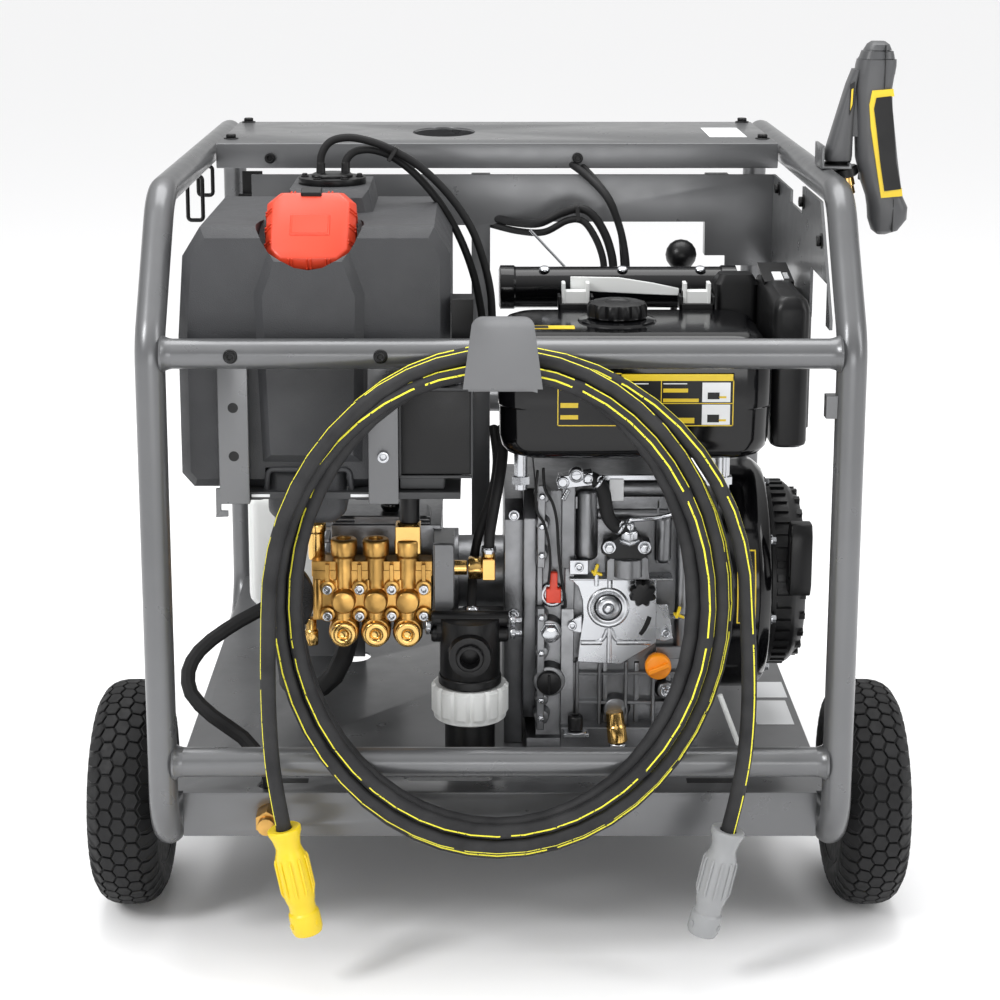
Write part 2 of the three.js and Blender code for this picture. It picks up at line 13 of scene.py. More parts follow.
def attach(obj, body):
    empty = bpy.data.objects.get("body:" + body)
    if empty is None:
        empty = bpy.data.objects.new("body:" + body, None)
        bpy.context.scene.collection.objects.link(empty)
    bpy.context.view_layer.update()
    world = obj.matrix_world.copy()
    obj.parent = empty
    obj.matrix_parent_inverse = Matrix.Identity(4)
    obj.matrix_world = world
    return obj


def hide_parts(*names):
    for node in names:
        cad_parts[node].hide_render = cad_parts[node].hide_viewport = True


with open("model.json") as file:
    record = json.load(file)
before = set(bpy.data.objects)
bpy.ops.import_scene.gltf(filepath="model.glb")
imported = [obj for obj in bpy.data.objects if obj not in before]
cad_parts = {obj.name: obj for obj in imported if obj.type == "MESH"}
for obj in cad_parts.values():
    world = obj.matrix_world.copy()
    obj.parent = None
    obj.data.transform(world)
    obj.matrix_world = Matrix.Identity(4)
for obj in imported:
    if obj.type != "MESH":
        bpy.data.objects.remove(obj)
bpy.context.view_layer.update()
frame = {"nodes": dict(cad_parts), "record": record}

MM = 0.001
ORIGIN_Y = 369.0
SIDE_X = 344.5
TUBE_R = 15.0
REAR_Y = 800.0
TOP_Z = 790.0
BOTTOM_Z = 127.0
SHOULDER = (105.0, 655.0)
BEND_R = 60.0
RAIL_INSET = 20.0
RAIL_Y = (72.0, 200.0, 640.0, 730.0)
HOSE_R = 7.75
UPPER_Z = 646.0
LOWER_Z = 221.0
TRAY_TOP = 179.0
PANEL_TOP = 805.0
CRANK = (250.0, 348.0)
WHEEL = {"x": 400.5, "y": 163.0, "r": 122.0}
CAP = {"x": -190.0, "y": 82.0, "z": 748.0, "tilt": math.radians(50)}
SIDES = (("left", -1), ("right", 1))
UP, FRONT, ACROSS = (0, 0, 1), (0, -1, 0), (1, 0, 0)
# An edge turns sharp from this angle in radians. THIN is the least radius of a turned ring, and FILM
# the gap under a sticker, both in millimetres.
SHARP_EDGE = 0.5
THIN = 0.05
FILM = 0.05


def place(x, y, z):
    """A point of the machine's millimetres in the scene's metres."""
    return Vector((x, y - ORIGIN_Y, z)) * MM


# ---------------------------------------------------------------- camera, stage and light

def add_camera():
    """A long lens a little above the machine, with the picture shifted to keep it central."""
    data = bpy.data.cameras.new("camera")
    data.lens = 79.24
    data.sensor_width = 36.0
    data.shift_x = 0.023
    data.shift_y = -0.12
    camera = bpy.data.objects.new("camera", data)
    camera.location = place(-23.5, -2115.6, 1073.2)
    looks_down = 12.1
    camera.rotation_euler = (math.radians(90 - looks_down), 0, 0)
    bpy.context.collection.objects.link(camera)
    bpy.context.scene.camera = camera


def add_area(name, at, target, size, power):
    """A soft box in the scene's metres, aimed at a point."""
    data = bpy.data.lights.new(name, "AREA")
    data.shape = "RECTANGLE"
    data.size, data.size_y = size
    data.energy = power
    light = bpy.data.objects.new(name, data)
    light.location = at
    aim = Vector(target) - Vector(at)
    light.rotation_euler = aim.to_track_quat("-Z", "Y").to_euler()
    bpy.context.collection.objects.link(light)


def add_studio():
    """A pale room that darkens towards the horizon, four soft boxes and a white floor."""
    world = bpy.data.worlds.new("studio")
    world.use_nodes = True
    tree = world.node_tree
    tree.nodes["Background"].inputs["Strength"].default_value = 0.88
    split = tree.nodes.new("ShaderNodeSeparateXYZ")
    tree.links.new(tree.nodes.new("ShaderNodeTexCoord").outputs["Generated"], split.inputs["Vector"])
    height = tree.nodes.new("ShaderNodeValToRGB")
    stops = ((0.0, 0.98), (0.07, 0.92), (0.2, 0.32), (0.9, 1.62))
    for spot, _ in stops[2:]:
        height.color_ramp.elements.new(spot)
    for element, (spot, tone) in zip(height.color_ramp.elements, stops):
        element.position, element.color = spot, (tone, tone, tone, 1)
    tree.links.new(split.outputs["Z"], height.inputs["Fac"])
    tree.links.new(height.outputs["Color"], tree.nodes["Background"].inputs["Color"])
    bpy.context.scene.world = world
    middle = (0, 0, 0.45)
    add_area("key", (-2.4, -2.2, 2.8), middle, (0.8, 1.4), 75)
    add_area("fill", (2.8, -1.6, 1.9), middle, (0.9, 2.2), 30)
    add_area("top", (0, 0.4, 3.2), middle, (2.4, 2.0), 58)
    add_area("front_low", (0.3, -3.0, 0.7), middle, (1.6, 0.7), 13)
    floor = bpy.data.meshes.new("floor")
    reach = 40
    corners = [(-reach, -reach, 0), (reach, -reach, 0), (reach, reach, 0), (-reach, reach, 0)]
    floor.from_pydata(corners, [], [(0, 1, 2, 3)])
    stage = bpy.data.objects.new("floor", floor)
    bpy.context.collection.objects.link(stage)
    look = bpy.data.materials.new("floor")
    look.use_nodes = True
    shader = look.node_tree.nodes["Principled BSDF"]
    shader.inputs["Base Color"].default_value = (0.90, 0.90, 0.905, 1)
    shader.inputs["Roughness"].default_value = 0.65
    shader.inputs["Specular IOR Level"].default_value = 0.2
    floor.materials.append(look)
    bpy.context.scene.view_settings.view_transform = "Standard"


# ---------------------------------------------------------------- mesh making, in millimetres

def frame_of(axis):
    """Two directions square to an axis."""
    axis = Vector(axis).normalized()
    side = Vector(UP) if abs(axis.z) < 0.9 else Vector(ACROSS)
    across = axis.cross(side).normalized()
    return across, axis.cross(across).normalized()


def spokes(count, u=Vector((0, 1, 0)), v=Vector(UP), shift=0.0):
    """Directions spread evenly round a circle from u towards v, shifted by a share of one step."""
    for k in range(count):
        a = 2 * math.pi * (k + shift) / count
        yield u * math.cos(a) + v * math.sin(a)


def skin(bm, rings, closed=False):
    """Joins rings of equal count with quads."""
    made = [[bm.verts.new(p) for p in ring] for ring in rings]
    count = len(made[0])
    spans = len(made) if closed else len(made) - 1
    for i in range(spans):
        low, high = made[i], made[(i + 1) % len(made)]
        for k in range(count):
            j = (k + 1) % count
            bm.faces.new((low[k], low[j], high[j], high[k]))
    if not closed:
        bm.faces.new(list(reversed(made[0])))
        bm.faces.new(made[-1])
    return made


def box(bm, lo, hi):
    """A box between two corners."""
    (x0, y0, z0), (x1, y1, z1) = lo, hi
    low = [Vector((x, y, z0)) for x, y in ((x0, y0), (x1, y0), (x1, y1), (x0, y1))]
    high = [Vector((p.x, p.y, z1)) for p in low]
    skin(bm, [low, high])


def turned(bm, at, axis, profile, sides=32):
    """A body of revolution. The profile is a list of (radius, height along the axis)."""
    at, axis = Vector(at), Vector(axis).normalized()
    u, v = frame_of(axis)
    rings = []
    for radius, height in profile:
        rings.append([at + axis * height + out * max(radius, THIN) for out in spokes(sides, u, v)])
    skin(bm, rings)


def rod(bm, a, b, radius, sides=24):
    """A plain round bar between two points."""
    a, b = Vector(a), Vector(b)
    turned(bm, a, b - a, [(radius, 0), (radius, (b - a).length)], sides)


def prism(bm, outline, axis, near, far):
    """An outline in the two other axes, drawn out along one axis."""
    def point(p, depth):
        if axis == "y":
            return Vector((p[0], depth, p[1]))
        if axis == "x":
            return Vector((depth, p[0], p[1]))
        return Vector((p[0], p[1], depth))
    skin(bm, [[point(p, near) for p in outline], [point(p, far) for p in outline]])


def tube(bm, points, radius, sides=16, closed=False):
    """A round tube along points, carried without twist."""
    points = [Vector(p) for p in points]
    count = len(points)
    rings = []
    side = None
    for i, p in enumerate(points):
        if closed:
            way = points[(i + 1) % count] - points[i - 1]
        else:
            way = points[min(i + 1, count - 1)] - points[max(i - 1, 0)]
        way.normalize()
        side = frame_of(way)[0] if side is None else (side - way * side.dot(way)).normalized()
        up = way.cross(side)
        turn = [2 * math.pi * k / sides for k in range(sides)]
        rings.append([p + (side * math.cos(a) + up * math.sin(a)) * radius for a in turn])
    return skin(bm, rings, closed)


def rounded(corners, radius, steps, closed=False):
    """A path with its corners turned into arcs."""
    points = []
    count = len(corners)
    for i, corner in enumerate(corners):
        here = Vector(corner)
        if not closed and i in (0, count - 1):
            points.append(here)
            continue
        back = (Vector(corners[i - 1]) - here).normalized()
        ahead = (Vector(corners[(i + 1) % count]) - here).normalized()
        half = back.angle(ahead) / 2
        centre = here + (back + ahead).normalized() * radius / math.sin(half)
        run = radius / math.tan(half)
        start, end = here + back * run - centre, here + ahead * run - centre
        sweep = start.angle(end)
        for k in range(steps + 1):
            t = k / steps
            a, b = math.sin((1 - t) * sweep) / math.sin(sweep), math.sin(t * sweep) / math.sin(sweep)
            points.append(centre + start * a + end * b)
    return points


def smooth_path(points, steps=6):
    """A Catmull-Rom curve through points."""
    pts = [Vector(p) for p in points]
    out = []
    for i in range(len(pts) - 1):
        a, b = pts[max(i - 1, 0)], pts[i]
        c, d = pts[i + 1], pts[min(i + 2, len(pts) - 1)]
        for k in range(steps):
            t = k / steps
            out.append(0.5 * (2 * b + (c - a) * t + (2 * a - 5 * b + 4 * c - d) * t * t
                              + (3 * b - a - 3 * c + d) * t ** 3))
    out.append(pts[-1])
    return out


def bevel_sharp(bm, width, segments):
    """Rounds every sharp edge."""
    edges = [e for e in bm.edges if len(e.link_faces) == 2 and e.calc_face_angle(0) > SHARP_EDGE]
    if edges:
        bmesh.ops.bevel(bm, geom=edges, offset=width, segments=segments, profile=0.6,
                        affect="EDGES", clamp_overlap=True)


def make(name, body, bm, look, replaces=(), bevel=0.0, segments=2, angle=35):
    """Turns a millimetre bmesh into a scene piece that rides on a body."""
    bmesh.ops.remove_doubles(bm, verts=bm.verts, dist=0.001)
    bmesh.ops.recalc_face_normals(bm, faces=bm.faces)
    if bevel:
        bevel_sharp(bm, bevel, segments)
    to_metres = Matrix.Scale(MM, 4) @ Matrix.Translation((0, -ORIGIN_Y, 0))
    bmesh.ops.transform(bm, matrix=to_metres, verts=bm.verts)
    mesh = bpy.data.meshes.new(name)
    bm.to_mesh(mesh)
    bm.free()
    mesh.shade_smooth()
    mesh.set_sharp_from_angle(angle=math.radians(angle))
    piece = bpy.data.objects.new(name, mesh)
    bpy.context.collection.objects.link(piece)
    mesh.materials.append(MATERIALS[look])
    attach(piece, body)
    if replaces:
        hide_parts(*replaces)
    return piece


class Kit:
    """Small parts of one group, gathered by name and made into one piece per name."""

    def __init__(self, group, body="chassis"):
        self.group, self.body, self.parts = group, body, {}

    def part(self, name, look):
        """The mesh of a named piece, made empty when it is first asked for."""
        if name not in self.parts:
            self.parts[name] = (bmesh.new(), look)
        return self.parts[name][0]

    def finish(self, replaces=None, bevel=0.4):
        """Turns the gathered meshes into pieces; some of them take the place of CAD nodes."""
        for name, (bm, look) in self.parts.items():
            make(f"{self.group}_{name}", self.body, bm, look, (replaces or {}).get(name, ()), bevel, 1)


def slab(bm, centre, u, v, half):
    """A box with its own directions: half sizes along u, along v and through."""
    u, v, centre = Vector(u).normalized(), Vector(v).normalized(), Vector(centre)
    w = u.cross(v)
    signs = ((-1, -1), (1, -1), (1, 1), (-1, 1))
    corners = [u * half[0] * a + v * half[1] * b for a, b in signs]
    skin(bm, [[centre + c + w * half[2] * way for c in corners] for way in (-1, 1)])


def hex_bolt(bm, at, axis, radius, height=4.5):
    """A washer, a six-sided head and its slightly domed top."""
    turned(bm, at, axis, [(radius * 1.35, 0), (radius * 1.35, 1.2)], 20)
    turned(bm, at, axis, [(radius, 1.2), (radius, height), (radius * 0.8, height + 0.6)], 6)


def socket_screw(bm, at, axis, radius, height):
    """A round head with a hollow middle."""
    head = [(radius, 0), (radius, height - 0.5), (radius - 0.5, height)]
    hollow = [(radius * 0.55, height), (radius * 0.5, height * 0.35), (0, height * 0.35)]
    turned(bm, at, axis, head + hollow, 20)


def fluted(bm, at, axis, profile, count, depth, narrow=2):
    """A body of revolution with grooves along it. The profile is (radius, height, share of the depth)."""
    at, axis = Vector(at), Vector(axis).normalized()
    u, v = frame_of(axis)
    sides = count * (6 if narrow < 4 else 10)
    rings = []
    for radius, height, share in profile:
        ring = []
        for k in range(sides):
            a = 2 * math.pi * k / sides
            groove = depth * share * (0.5 + 0.5 * math.cos(count * a)) ** narrow
            reach = max(radius - groove, THIN)
            ring.append(at + axis * height + (u * math.cos(a) + v * math.sin(a)) * reach)
        rings.append(ring)
    skin(bm, rings)


def loft_box(bm, xs, ys, levels, steps=6):
    """A soft-cornered box from level to level: each is (height, inset, corner radius)."""
    rings = []
    for z, inset, radius in levels:
        x0, x1, y0, y1 = xs[0] + inset, xs[1] - inset, ys[0] + inset, ys[1] - inset
        radius = min(radius, (x1 - x0) / 2 - 0.1, (y1 - y0) / 2 - 0.1)
        ring = []
        for n, (cx, cy) in enumerate(((x1 - radius, y1 - radius), (x0 + radius, y1 - radius),
                                      (x0 + radius, y0 + radius), (x1 - radius, y0 + radius))):
            for k in range(steps + 1):
                a = math.pi / 2 * (n + k / steps)
                ring.append(Vector((cx + radius * math.cos(a), cy + radius * math.sin(a), z)))
        rings.append(ring)
    skin(bm, rings)


def cable(bm, points, radius, sides=12):
    """A bent line that runs smoothly through its points."""
    tube(bm, smooth_path(points), radius, sides)


def cad_shape(node):
    """The CAD node's own shape as a millimetre bmesh with its flat faces joined."""
    bm = bmesh.new()
    bm.from_mesh(frame["nodes"][node].data)
    bmesh.ops.transform(bm, matrix=Matrix.Scale(1 / MM, 4), verts=bm.verts)
    bmesh.ops.translate(bm, vec=(0, ORIGIN_Y, 0), verts=bm.verts)
    bmesh.ops.remove_doubles(bm, verts=bm.verts, dist=0.01)
    bmesh.ops.dissolve_limit(bm, angle_limit=math.radians(1), verts=bm.verts, edges=bm.edges)
    return bm


# ---------------------------------------------------------------- materials

class Look:
    """A node material whose fine detail comes from noise in the piece's own metres."""

    def __init__(self, name, rough, metal=0.0):
        self.material = bpy.data.materials.new(name)
        self.material.use_nodes = True
        self.tree = self.material.node_tree
        self.shader = self.tree.nodes["Principled BSDF"]
        self.shader.inputs["Roughness"].default_value = rough
        self.shader.inputs["Metallic"].default_value = metal
        self.coord = self.tree.nodes.new("ShaderNodeTexCoord").outputs["Object"]
        self.bump = None

    def link(self, a, b):
        self.tree.links.new(a, b)

    def noise(self, scale, detail, stretch=None):
        """Cloudy noise between 0 and 1, stretched if a scale for each axis is given."""
        node = self.tree.nodes.new("ShaderNodeTexNoise")
        node.inputs["Scale"].default_value = scale
        node.inputs["Detail"].default_value = detail
        source = self.coord
        if stretch:
            mapping = self.tree.nodes.new("ShaderNodeMapping")
            mapping.inputs["Scale"].default_value = stretch
            self.link(self.coord, mapping.inputs["Vector"])
            source = mapping.outputs["Vector"]
        self.link(source, node.inputs["Vector"])
        return node.outputs["Fac"]

    def ramp(self, factor, stops):
        """A colour for each value of a factor, from stops of (place, colour)."""
        node = self.tree.nodes.new("ShaderNodeValToRGB")
        elements = node.color_ramp.elements
        while len(elements) < len(stops):
            elements.new(0.5)
        for element, (spot, colour) in zip(elements, stops):
            element.position = spot
            element.color = (*colour, 1)
        self.link(factor, node.inputs["Fac"])
        return node.outputs["Color"]

    def span(self, factor, low, high):
        """The middle of a noise spread over a range."""
        node = self.tree.nodes.new("ShaderNodeMapRange")
        node.inputs["From Min"].default_value = 0.3
        node.inputs["From Max"].default_value = 0.7
        node.inputs["To Min"].default_value = low
        node.inputs["To Max"].default_value = high
        self.link(factor, node.inputs["Value"])
        return node.outputs["Result"]

    def colour(self, output):
        self.link(output, self.shader.inputs["Base Color"])

    def roughness(self, output):
        self.link(output, self.shader.inputs["Roughness"])

    def relief(self, height, strength, distance):
        """A bump on top of those given before."""
        node = self.tree.nodes.new("ShaderNodeBump")
        node.inputs["Strength"].default_value = strength
        node.inputs["Distance"].default_value = distance
        self.link(height, node.inputs["Height"])
        if self.bump is not None:
            self.link(self.bump, node.inputs["Normal"])
        self.bump = node.outputs["Normal"]
        self.link(self.bump, self.shader.inputs["Normal"])


def mixed(colour, factor):
    """A colour made lighter or darker."""
    return tuple(min(max(c * factor, 0.0), 1.0) for c in colour)


def plain_look(name, colour, rough, metal=0.0, patch=5.0, spread=0.08, grain=900.0, relief=0.15,
               depth=0.0002, coat=0.0):
    """Base of most materials: soft patches of tone, uneven gloss and a fine grain."""
    look = Look(name, rough, metal)
    tone = look.noise(patch, 4)
    look.colour(look.ramp(tone, [(0.35, mixed(colour, 1 - spread)), (0.65, mixed(colour, 1 + spread))]))
    look.roughness(look.span(look.noise(patch * 7, 5), rough * 0.86, rough * 1.14))
    look.relief(look.noise(grain, 2), relief, depth)
    if coat:
        look.shader.inputs["Coat Weight"].default_value = coat
        look.shader.inputs["Coat Roughness"].default_value = 0.15
    return look


def grained_look(name, colour, rough, cell, strength=0.5):
    """Moulded plastic with a leather-like mould grain."""
    look = plain_look(name, colour, rough, spread=0.1, relief=0.2)
    cells = look.tree.nodes.new("ShaderNodeTexVoronoi")
    cells.inputs["Scale"].default_value = cell
    look.link(look.coord, cells.inputs["Vector"])
    look.relief(cells.outputs["Distance"], strength, 0.0004)
    return look


def brushed_look(name, colour, rough, stretch):
    """Bare metal with fine lines, long where the stretch is small."""
    look = plain_look(name, colour, rough, 1.0, spread=0.05, relief=0.05)
    look.relief(look.noise(1500, 2, stretch), 0.12, 0.0001)
    look.shader.inputs["Anisotropic"].default_value = 0.4
    return look


def hose_look():
    """Cloth-wrapped rubber with two yellow lines along its length, broken by short gaps."""
    look = Look("hose_rubber", 0.62)
    uv = look.tree.nodes.new("ShaderNodeUVMap")
    uv.uv_map = "along"
    split = look.tree.nodes.new("ShaderNodeSeparateXYZ")
    look.link(uv.outputs["UV"], split.inputs["Vector"])
    along, around = split.outputs["X"], split.outputs["Y"]

    def maths(kind, a, b):
        """A step of arithmetic on numbers or node outputs."""
        node = look.tree.nodes.new("ShaderNodeMath")
        node.operation = kind
        for socket, value in zip(node.inputs, (a, b)):
            if isinstance(value, (int, float)):
                socket.default_value = value
            elif value is not None:
                look.link(value, socket)
        return node.outputs["Value"]

    lines = None
    for centre, half in ((0.50, 0.028), (0.69, 0.018)):
        band = maths("LESS_THAN", maths("ABSOLUTE", maths("SUBTRACT", around, centre), None), half)
        lines = band if lines is None else maths("MAXIMUM", lines, band)
    dashes = maths("GREATER_THAN", maths("FRACT", maths("MULTIPLY", along, 6.5), None), 0.07)
    fleck = maths("GREATER_THAN", look.noise(420, 3), 0.36)
    mark = maths("MULTIPLY", maths("MULTIPLY", lines, dashes), fleck)
    rubber = look.ramp(look.noise(30, 5), [(0.3, (0.010, 0.010, 0.011)), (0.7, (0.026, 0.026, 0.027))])
    mix = look.tree.nodes.new("ShaderNodeMix")
    mix.data_type = "RGBA"
    look.link(mark, mix.inputs["Factor"])
    look.link(rubber, mix.inputs[6])
    mix.inputs[7].default_value = (0.80, 0.74, 0.05, 1)
    look.colour(mix.outputs[2])
    weave = look.tree.nodes.new("ShaderNodeTexWave")
    weave.inputs["Scale"].default_value = 55
    weave.inputs["Distortion"].default_value = 1.5
    slant = look.tree.nodes.new("ShaderNodeCombineXYZ")
    look.link(maths("MULTIPLY", along, 14), slant.inputs["X"])
    look.link(around, slant.inputs["Y"])
    look.link(slant.outputs["Vector"], weave.inputs["Vector"])
    look.relief(weave.outputs["Fac"], 0.12, 0.0003)
    look.relief(look.noise(260, 4), 0.25, 0.0004)
    return look


LOOKS = {
    "frame": plain_look("frame_paint", (0.125, 0.127, 0.131), 0.31, 0.5, grain=300, relief=0.015, coat=0.2),
    "dark_paint": plain_look("dark_paint", (0.030, 0.031, 0.033), 0.42, 0.2),
    "tank": grained_look("tank_plastic", (0.030, 0.031, 0.034), 0.52, 900),
    "cap": plain_look("cap_red", (0.66, 0.050, 0.016), 0.38, relief=0.08),
    "black": grained_look("black_plastic", (0.0040, 0.0040, 0.0044), 0.34, 1200, 0.12),
    "gloss_black": plain_look("gloss_black", (0.0025, 0.0025, 0.003), 0.12, relief=0.03, coat=0.12),
    "rubber": plain_look("rubber", (0.0075, 0.0075, 0.008), 0.62, relief=0.25),
    "tyre": plain_look("tyre", (0.0085, 0.0085, 0.009), 0.6, patch=18, spread=0.2, grain=500, relief=0.4),
    "rim": plain_look("rim_plastic", (0.012, 0.012, 0.013), 0.45),
    "zinc": brushed_look("zinc", (0.46, 0.47, 0.49), 0.22, (1, 1, 1)),
    "cast": plain_look("cast_aluminium", (0.20, 0.203, 0.21), 0.36, 0.95, patch=22, spread=0.18, grain=420,
                       relief=0.35, depth=0.0005),
    "pressed": brushed_look("pressed_steel", (0.50, 0.51, 0.53), 0.28, (1, 1, 14)),
    "brass": plain_look("brass", (0.50, 0.29, 0.085), 0.32, 0.97, patch=34, spread=0.24, grain=520,
                        relief=0.3, depth=0.0004),
    "bright_brass": plain_look("bright_brass", (0.66, 0.42, 0.14), 0.18, 0.98, patch=30, relief=0.02),
    "orange": plain_look("orange_plastic", (0.90, 0.28, 0.004), 0.4),
    "red": plain_look("red_plastic", (0.70, 0.05, 0.018), 0.4),
    "white": plain_look("white_plastic", (0.68, 0.69, 0.68), 0.42, patch=9, spread=0.05),
    "yellow": plain_look("yellow_plastic", (0.72, 0.52, 0.012), 0.36, spread=0.05),
    "grey": plain_look("grey_plastic", (0.25, 0.255, 0.26), 0.4, spread=0.05),
    "gun": plain_look("gun_plastic", (0.060, 0.061, 0.064), 0.40),
    "label": plain_look("label_black", (0.006, 0.006, 0.0065), 0.35, relief=0.02),
    "label_yellow": plain_look("label_yellow", (0.66, 0.47, 0.010), 0.38, relief=0.02),
    "label_white": plain_look("label_white", (0.72, 0.73, 0.74), 0.45, spread=0.03, relief=0.02),
}
LOOKS["hose"] = hose_look()
for name in ("black", "gloss_black", "rubber", "tyre", "rim", "hose", "label"):
    LOOKS[name].shader.inputs["Specular IOR Level"].default_value = 0.28
MATERIALS = {name: look.material for name, look in LOOKS.items()}

# ---------------------------------------------------------------- the high-pressure hose

COIL_CENTRE = (-3.0, 400.0)
TURNS = 4
STEPS = 12
# Reach from the coil's centre and depth of each strand, for the top crossings and then for each turn.
TOP = [(254.0, -49.0), (240.5, -57.0), (240.5, -41.0), (240.5, -25.5), (254.0, -33.0)]
RIGHT = [(221.0, -40.0), (207.0, -47.5), (193.0, -39.5), (227.0, -25.5)]
BOTTOM = [(253.6, -41.0), (237.5, -41.0), (236.7, -25.5), (265.0, -26.0)]
LEFT = [(217.0, -42.5), (201.0, -42.5), (201.0, -26.5), (217.0, -26.5)]
TAIL_LEFT = [(-227, -65.5, 400), (-228.5, -66, 345), (-228.5, -66, 295), (-226, -65.5, 245),
             (-221, -64, 205), (-216.5, -63, 177.5), (-215.2, -63, 171)]
TAIL_RIGHT = [(243, -38, 400), (246, -41, 345), (246.5, -45, 295), (243, -50, 245), (236, -53, 205),
              (228.5, -55, 172.2), (227.2, -55, 166)]


def quarter(start, end, number):
    """One quarter of a turn, as a quarter ellipse, with its depth eased from strand to strand."""
    ways = [Vector(UP), Vector(ACROSS), Vector((0, 0, -1)), Vector((-1, 0, 0))]
    first, second = ways[number % 4], ways[(number + 1) % 4]
    points = []
    for k in range(STEPS):
        t = k / STEPS
        angle = t * math.pi / 2
        ease = t * t * (3 - 2 * t)
        point = first * start[0] * math.cos(angle) + second * end[0] * math.sin(angle)
        depth = start[1] + (end[1] - start[1]) * ease
        points.append(Vector((COIL_CENTRE[0] + point.x, depth, COIL_CENTRE[1] + point.z)))
    return points


def hose_route():
    """From the yellow connector, up and over the hook, four turns, and down to the grey connector."""
    left_side = (COIL_CENTRE[0] - TAIL_LEFT[0][0], TAIL_LEFT[0][1])
    right_side = (TAIL_RIGHT[0][0] - COIL_CENTRE[0], TAIL_RIGHT[0][1])
    route = list(reversed(smooth_path(TAIL_LEFT, 5)))[:-1]
    route += quarter(left_side, TOP[0], 3)
    for turn in range(TURNS):
        stations = [TOP[turn], RIGHT[turn], BOTTOM[turn], LEFT[turn], TOP[turn + 1]]
        for number in range(4):
            route += quarter(stations[number], stations[number + 1], number)
    route += quarter(TOP[TURNS], right_side, 0)
    route += smooth_path(TAIL_RIGHT, 5)
    return route


def add_hose():
    """The hose with its length and turn written on the skin, and its centre line in metres."""
    route = hose_route()
    bm = bmesh.new()
    rings = tube(bm, route, HOSE_R)
    layer = bm.loops.layers.uv.new("along")
    ring_of = {}
    for i, ring in enumerate(rings):
        for vertex in ring:
            ring_of[vertex] = i
    run = [0.0]
    for a, b in zip(route, route[1:]):
        run.append(run[-1] + (b - a).length * MM)
    centre = Vector((COIL_CENTRE[0], -40, COIL_CENTRE[1]))

    def turn_of(vertex):
        """Where a vertex stands round the hose: a half is the side away from the coil's centre."""
        i = ring_of[vertex]
        way = (route[min(i + 1, len(route) - 1)] - route[max(i - 1, 0)]).normalized()
        out = route[i] - centre
        out = (out - way * out.dot(way)).normalized()
        front = way.cross(out)
        arm = vertex.co - route[i]
        twist = 0.6 * math.sin(run[i] * 1.7 + 0.8) + 0.35
        return (0.5 + (math.atan2(arm.dot(front), arm.dot(out)) + twist) / (2 * math.pi)) % 1.0

    for face in bm.faces:
        turns = [turn_of(loop.vert) for loop in face.loops]
        if max(turns) - min(turns) > 0.5:
            turns = [t + 1 if t < 0.5 else t for t in turns]
        for loop, t in zip(face.loops, turns):
            loop[layer].uv = (run[ring_of[loop.vert]], t)
    solids = ("hose_coil", "hose_tail_left", "hose_tail_right")
    hose = make("high_pressure_hose", "chassis", bm, "hose", solids, angle=60)
    path = [place(*p) for p in route]
    return hose, path


CONNECTORS = (
    ("yellow", Vector((-216.3, -63, 176.7)), -0.2),
    ("grey", Vector((228.3, -55, 171.4)), 0.215),
)


def add_connector(colour, top, lean):
    """Hand-tight screw connector: flared mouth, ribbed grip, stepped collar and end ring."""
    axis = Vector((-math.sin(lean), 0, -math.cos(lean)))
    bm = bmesh.new()
    shape = [(8.4, 8), (8.6, 1.0), (15.2, 0.0), (17.0, 1.2), (16.8, 5.0), (14.6, 10), (12.6, 20),
             (13.6, 25), (15.6, 30), (15.9, 72), (14.6, 79), (13.4, 82), (13.4, 90), (15.4, 92),
             (15.8, 97), (15.8, 110), (14.4, 114), (9.5, 114), (9.0, 104), (0, 104)]
    turned(bm, top, axis, shape, 40)
    u, v = frame_of(axis)
    for out in spokes(10, u, v):
        low, high = top + axis * 31 + out * 15.2, top + axis * 71 + out * 15.2
        tube(bm, [low, low + axis * 4 + out * 1.3, high - axis * 4 + out * 1.3, high], 1.5, 8)
    for out in spokes(3, u, v, 0.5):
        rod(bm, top + axis * 103 + out * 14.2, top + axis * 103 + out * 16.6, 3.2, 12)
    return make(f"connector_{colour}_grip", "chassis", bm, colour, (f"connector_{colour}",), angle=30)


# ---------------------------------------------------------------- the CAD pieces that keep their shape

# Each keeps its solid: its look, and the width its edges are rounded by, in mm.
KEPT = {
    "base_tray": ("frame", 1.2), "top_panel": ("frame", 1.2), "rear_panel": ("frame", 0.8),
    "side_gusset": ("frame", 0), "hose_hook": ("frame", 0.9), "gun_holder": ("frame", 0.8),
    "tank_strap_left": ("frame", 0.9), "tank_strap_right": ("frame", 0.9), "tank_rail": ("dark_paint", 0.8),
    "axle": ("zinc", 0.8), "crankshaft": ("zinc", 0.8),
    "rear_foot_left": ("rubber", 1.0), "rear_foot_right": ("rubber", 1.0),
    "fuel_tank": ("tank", 5.0), "tank_sump": ("tank", 4.0), "tank_sender": ("black", 1.0),
    "battery": ("black", 1.5), "engine_block": ("cast", 2.5), "gear_cover": ("cast", 2.0),
    "fan_shroud": ("gloss_black", 4.0), "recoil_starter": ("black", 3.0),
    "pump_crankcase": ("cast", 1.0), "pump_adapter": ("cast", 2.0),
    "filter_body": ("black", 1.5), "filter_bowl": ("black", 1.5), "outlet_fitting": ("brass", 0.8),
    "pressure_hose_inner": ("rubber", 0), "suction_hose": ("rubber", 0), "float_tank": ("white", 6.0),
    "starter_handle": ("black", 3.0), "decompression_lever": ("red", 1.5), "control_knob": ("black", 0),
    "regulator_knob": ("black", 1.5), "gun_trigger": ("black", 1.0),
}
BODY_OF = {node: body for body, nodes in frame["record"]["behaviour"]["bodies"].items() for node in nodes}


def add_kept(node, look, width):
    """A CAD piece in its own shape, with its edges rounded."""
    make(f"{node}_body", BODY_OF[node], cad_shape(node), look, (node,), width)


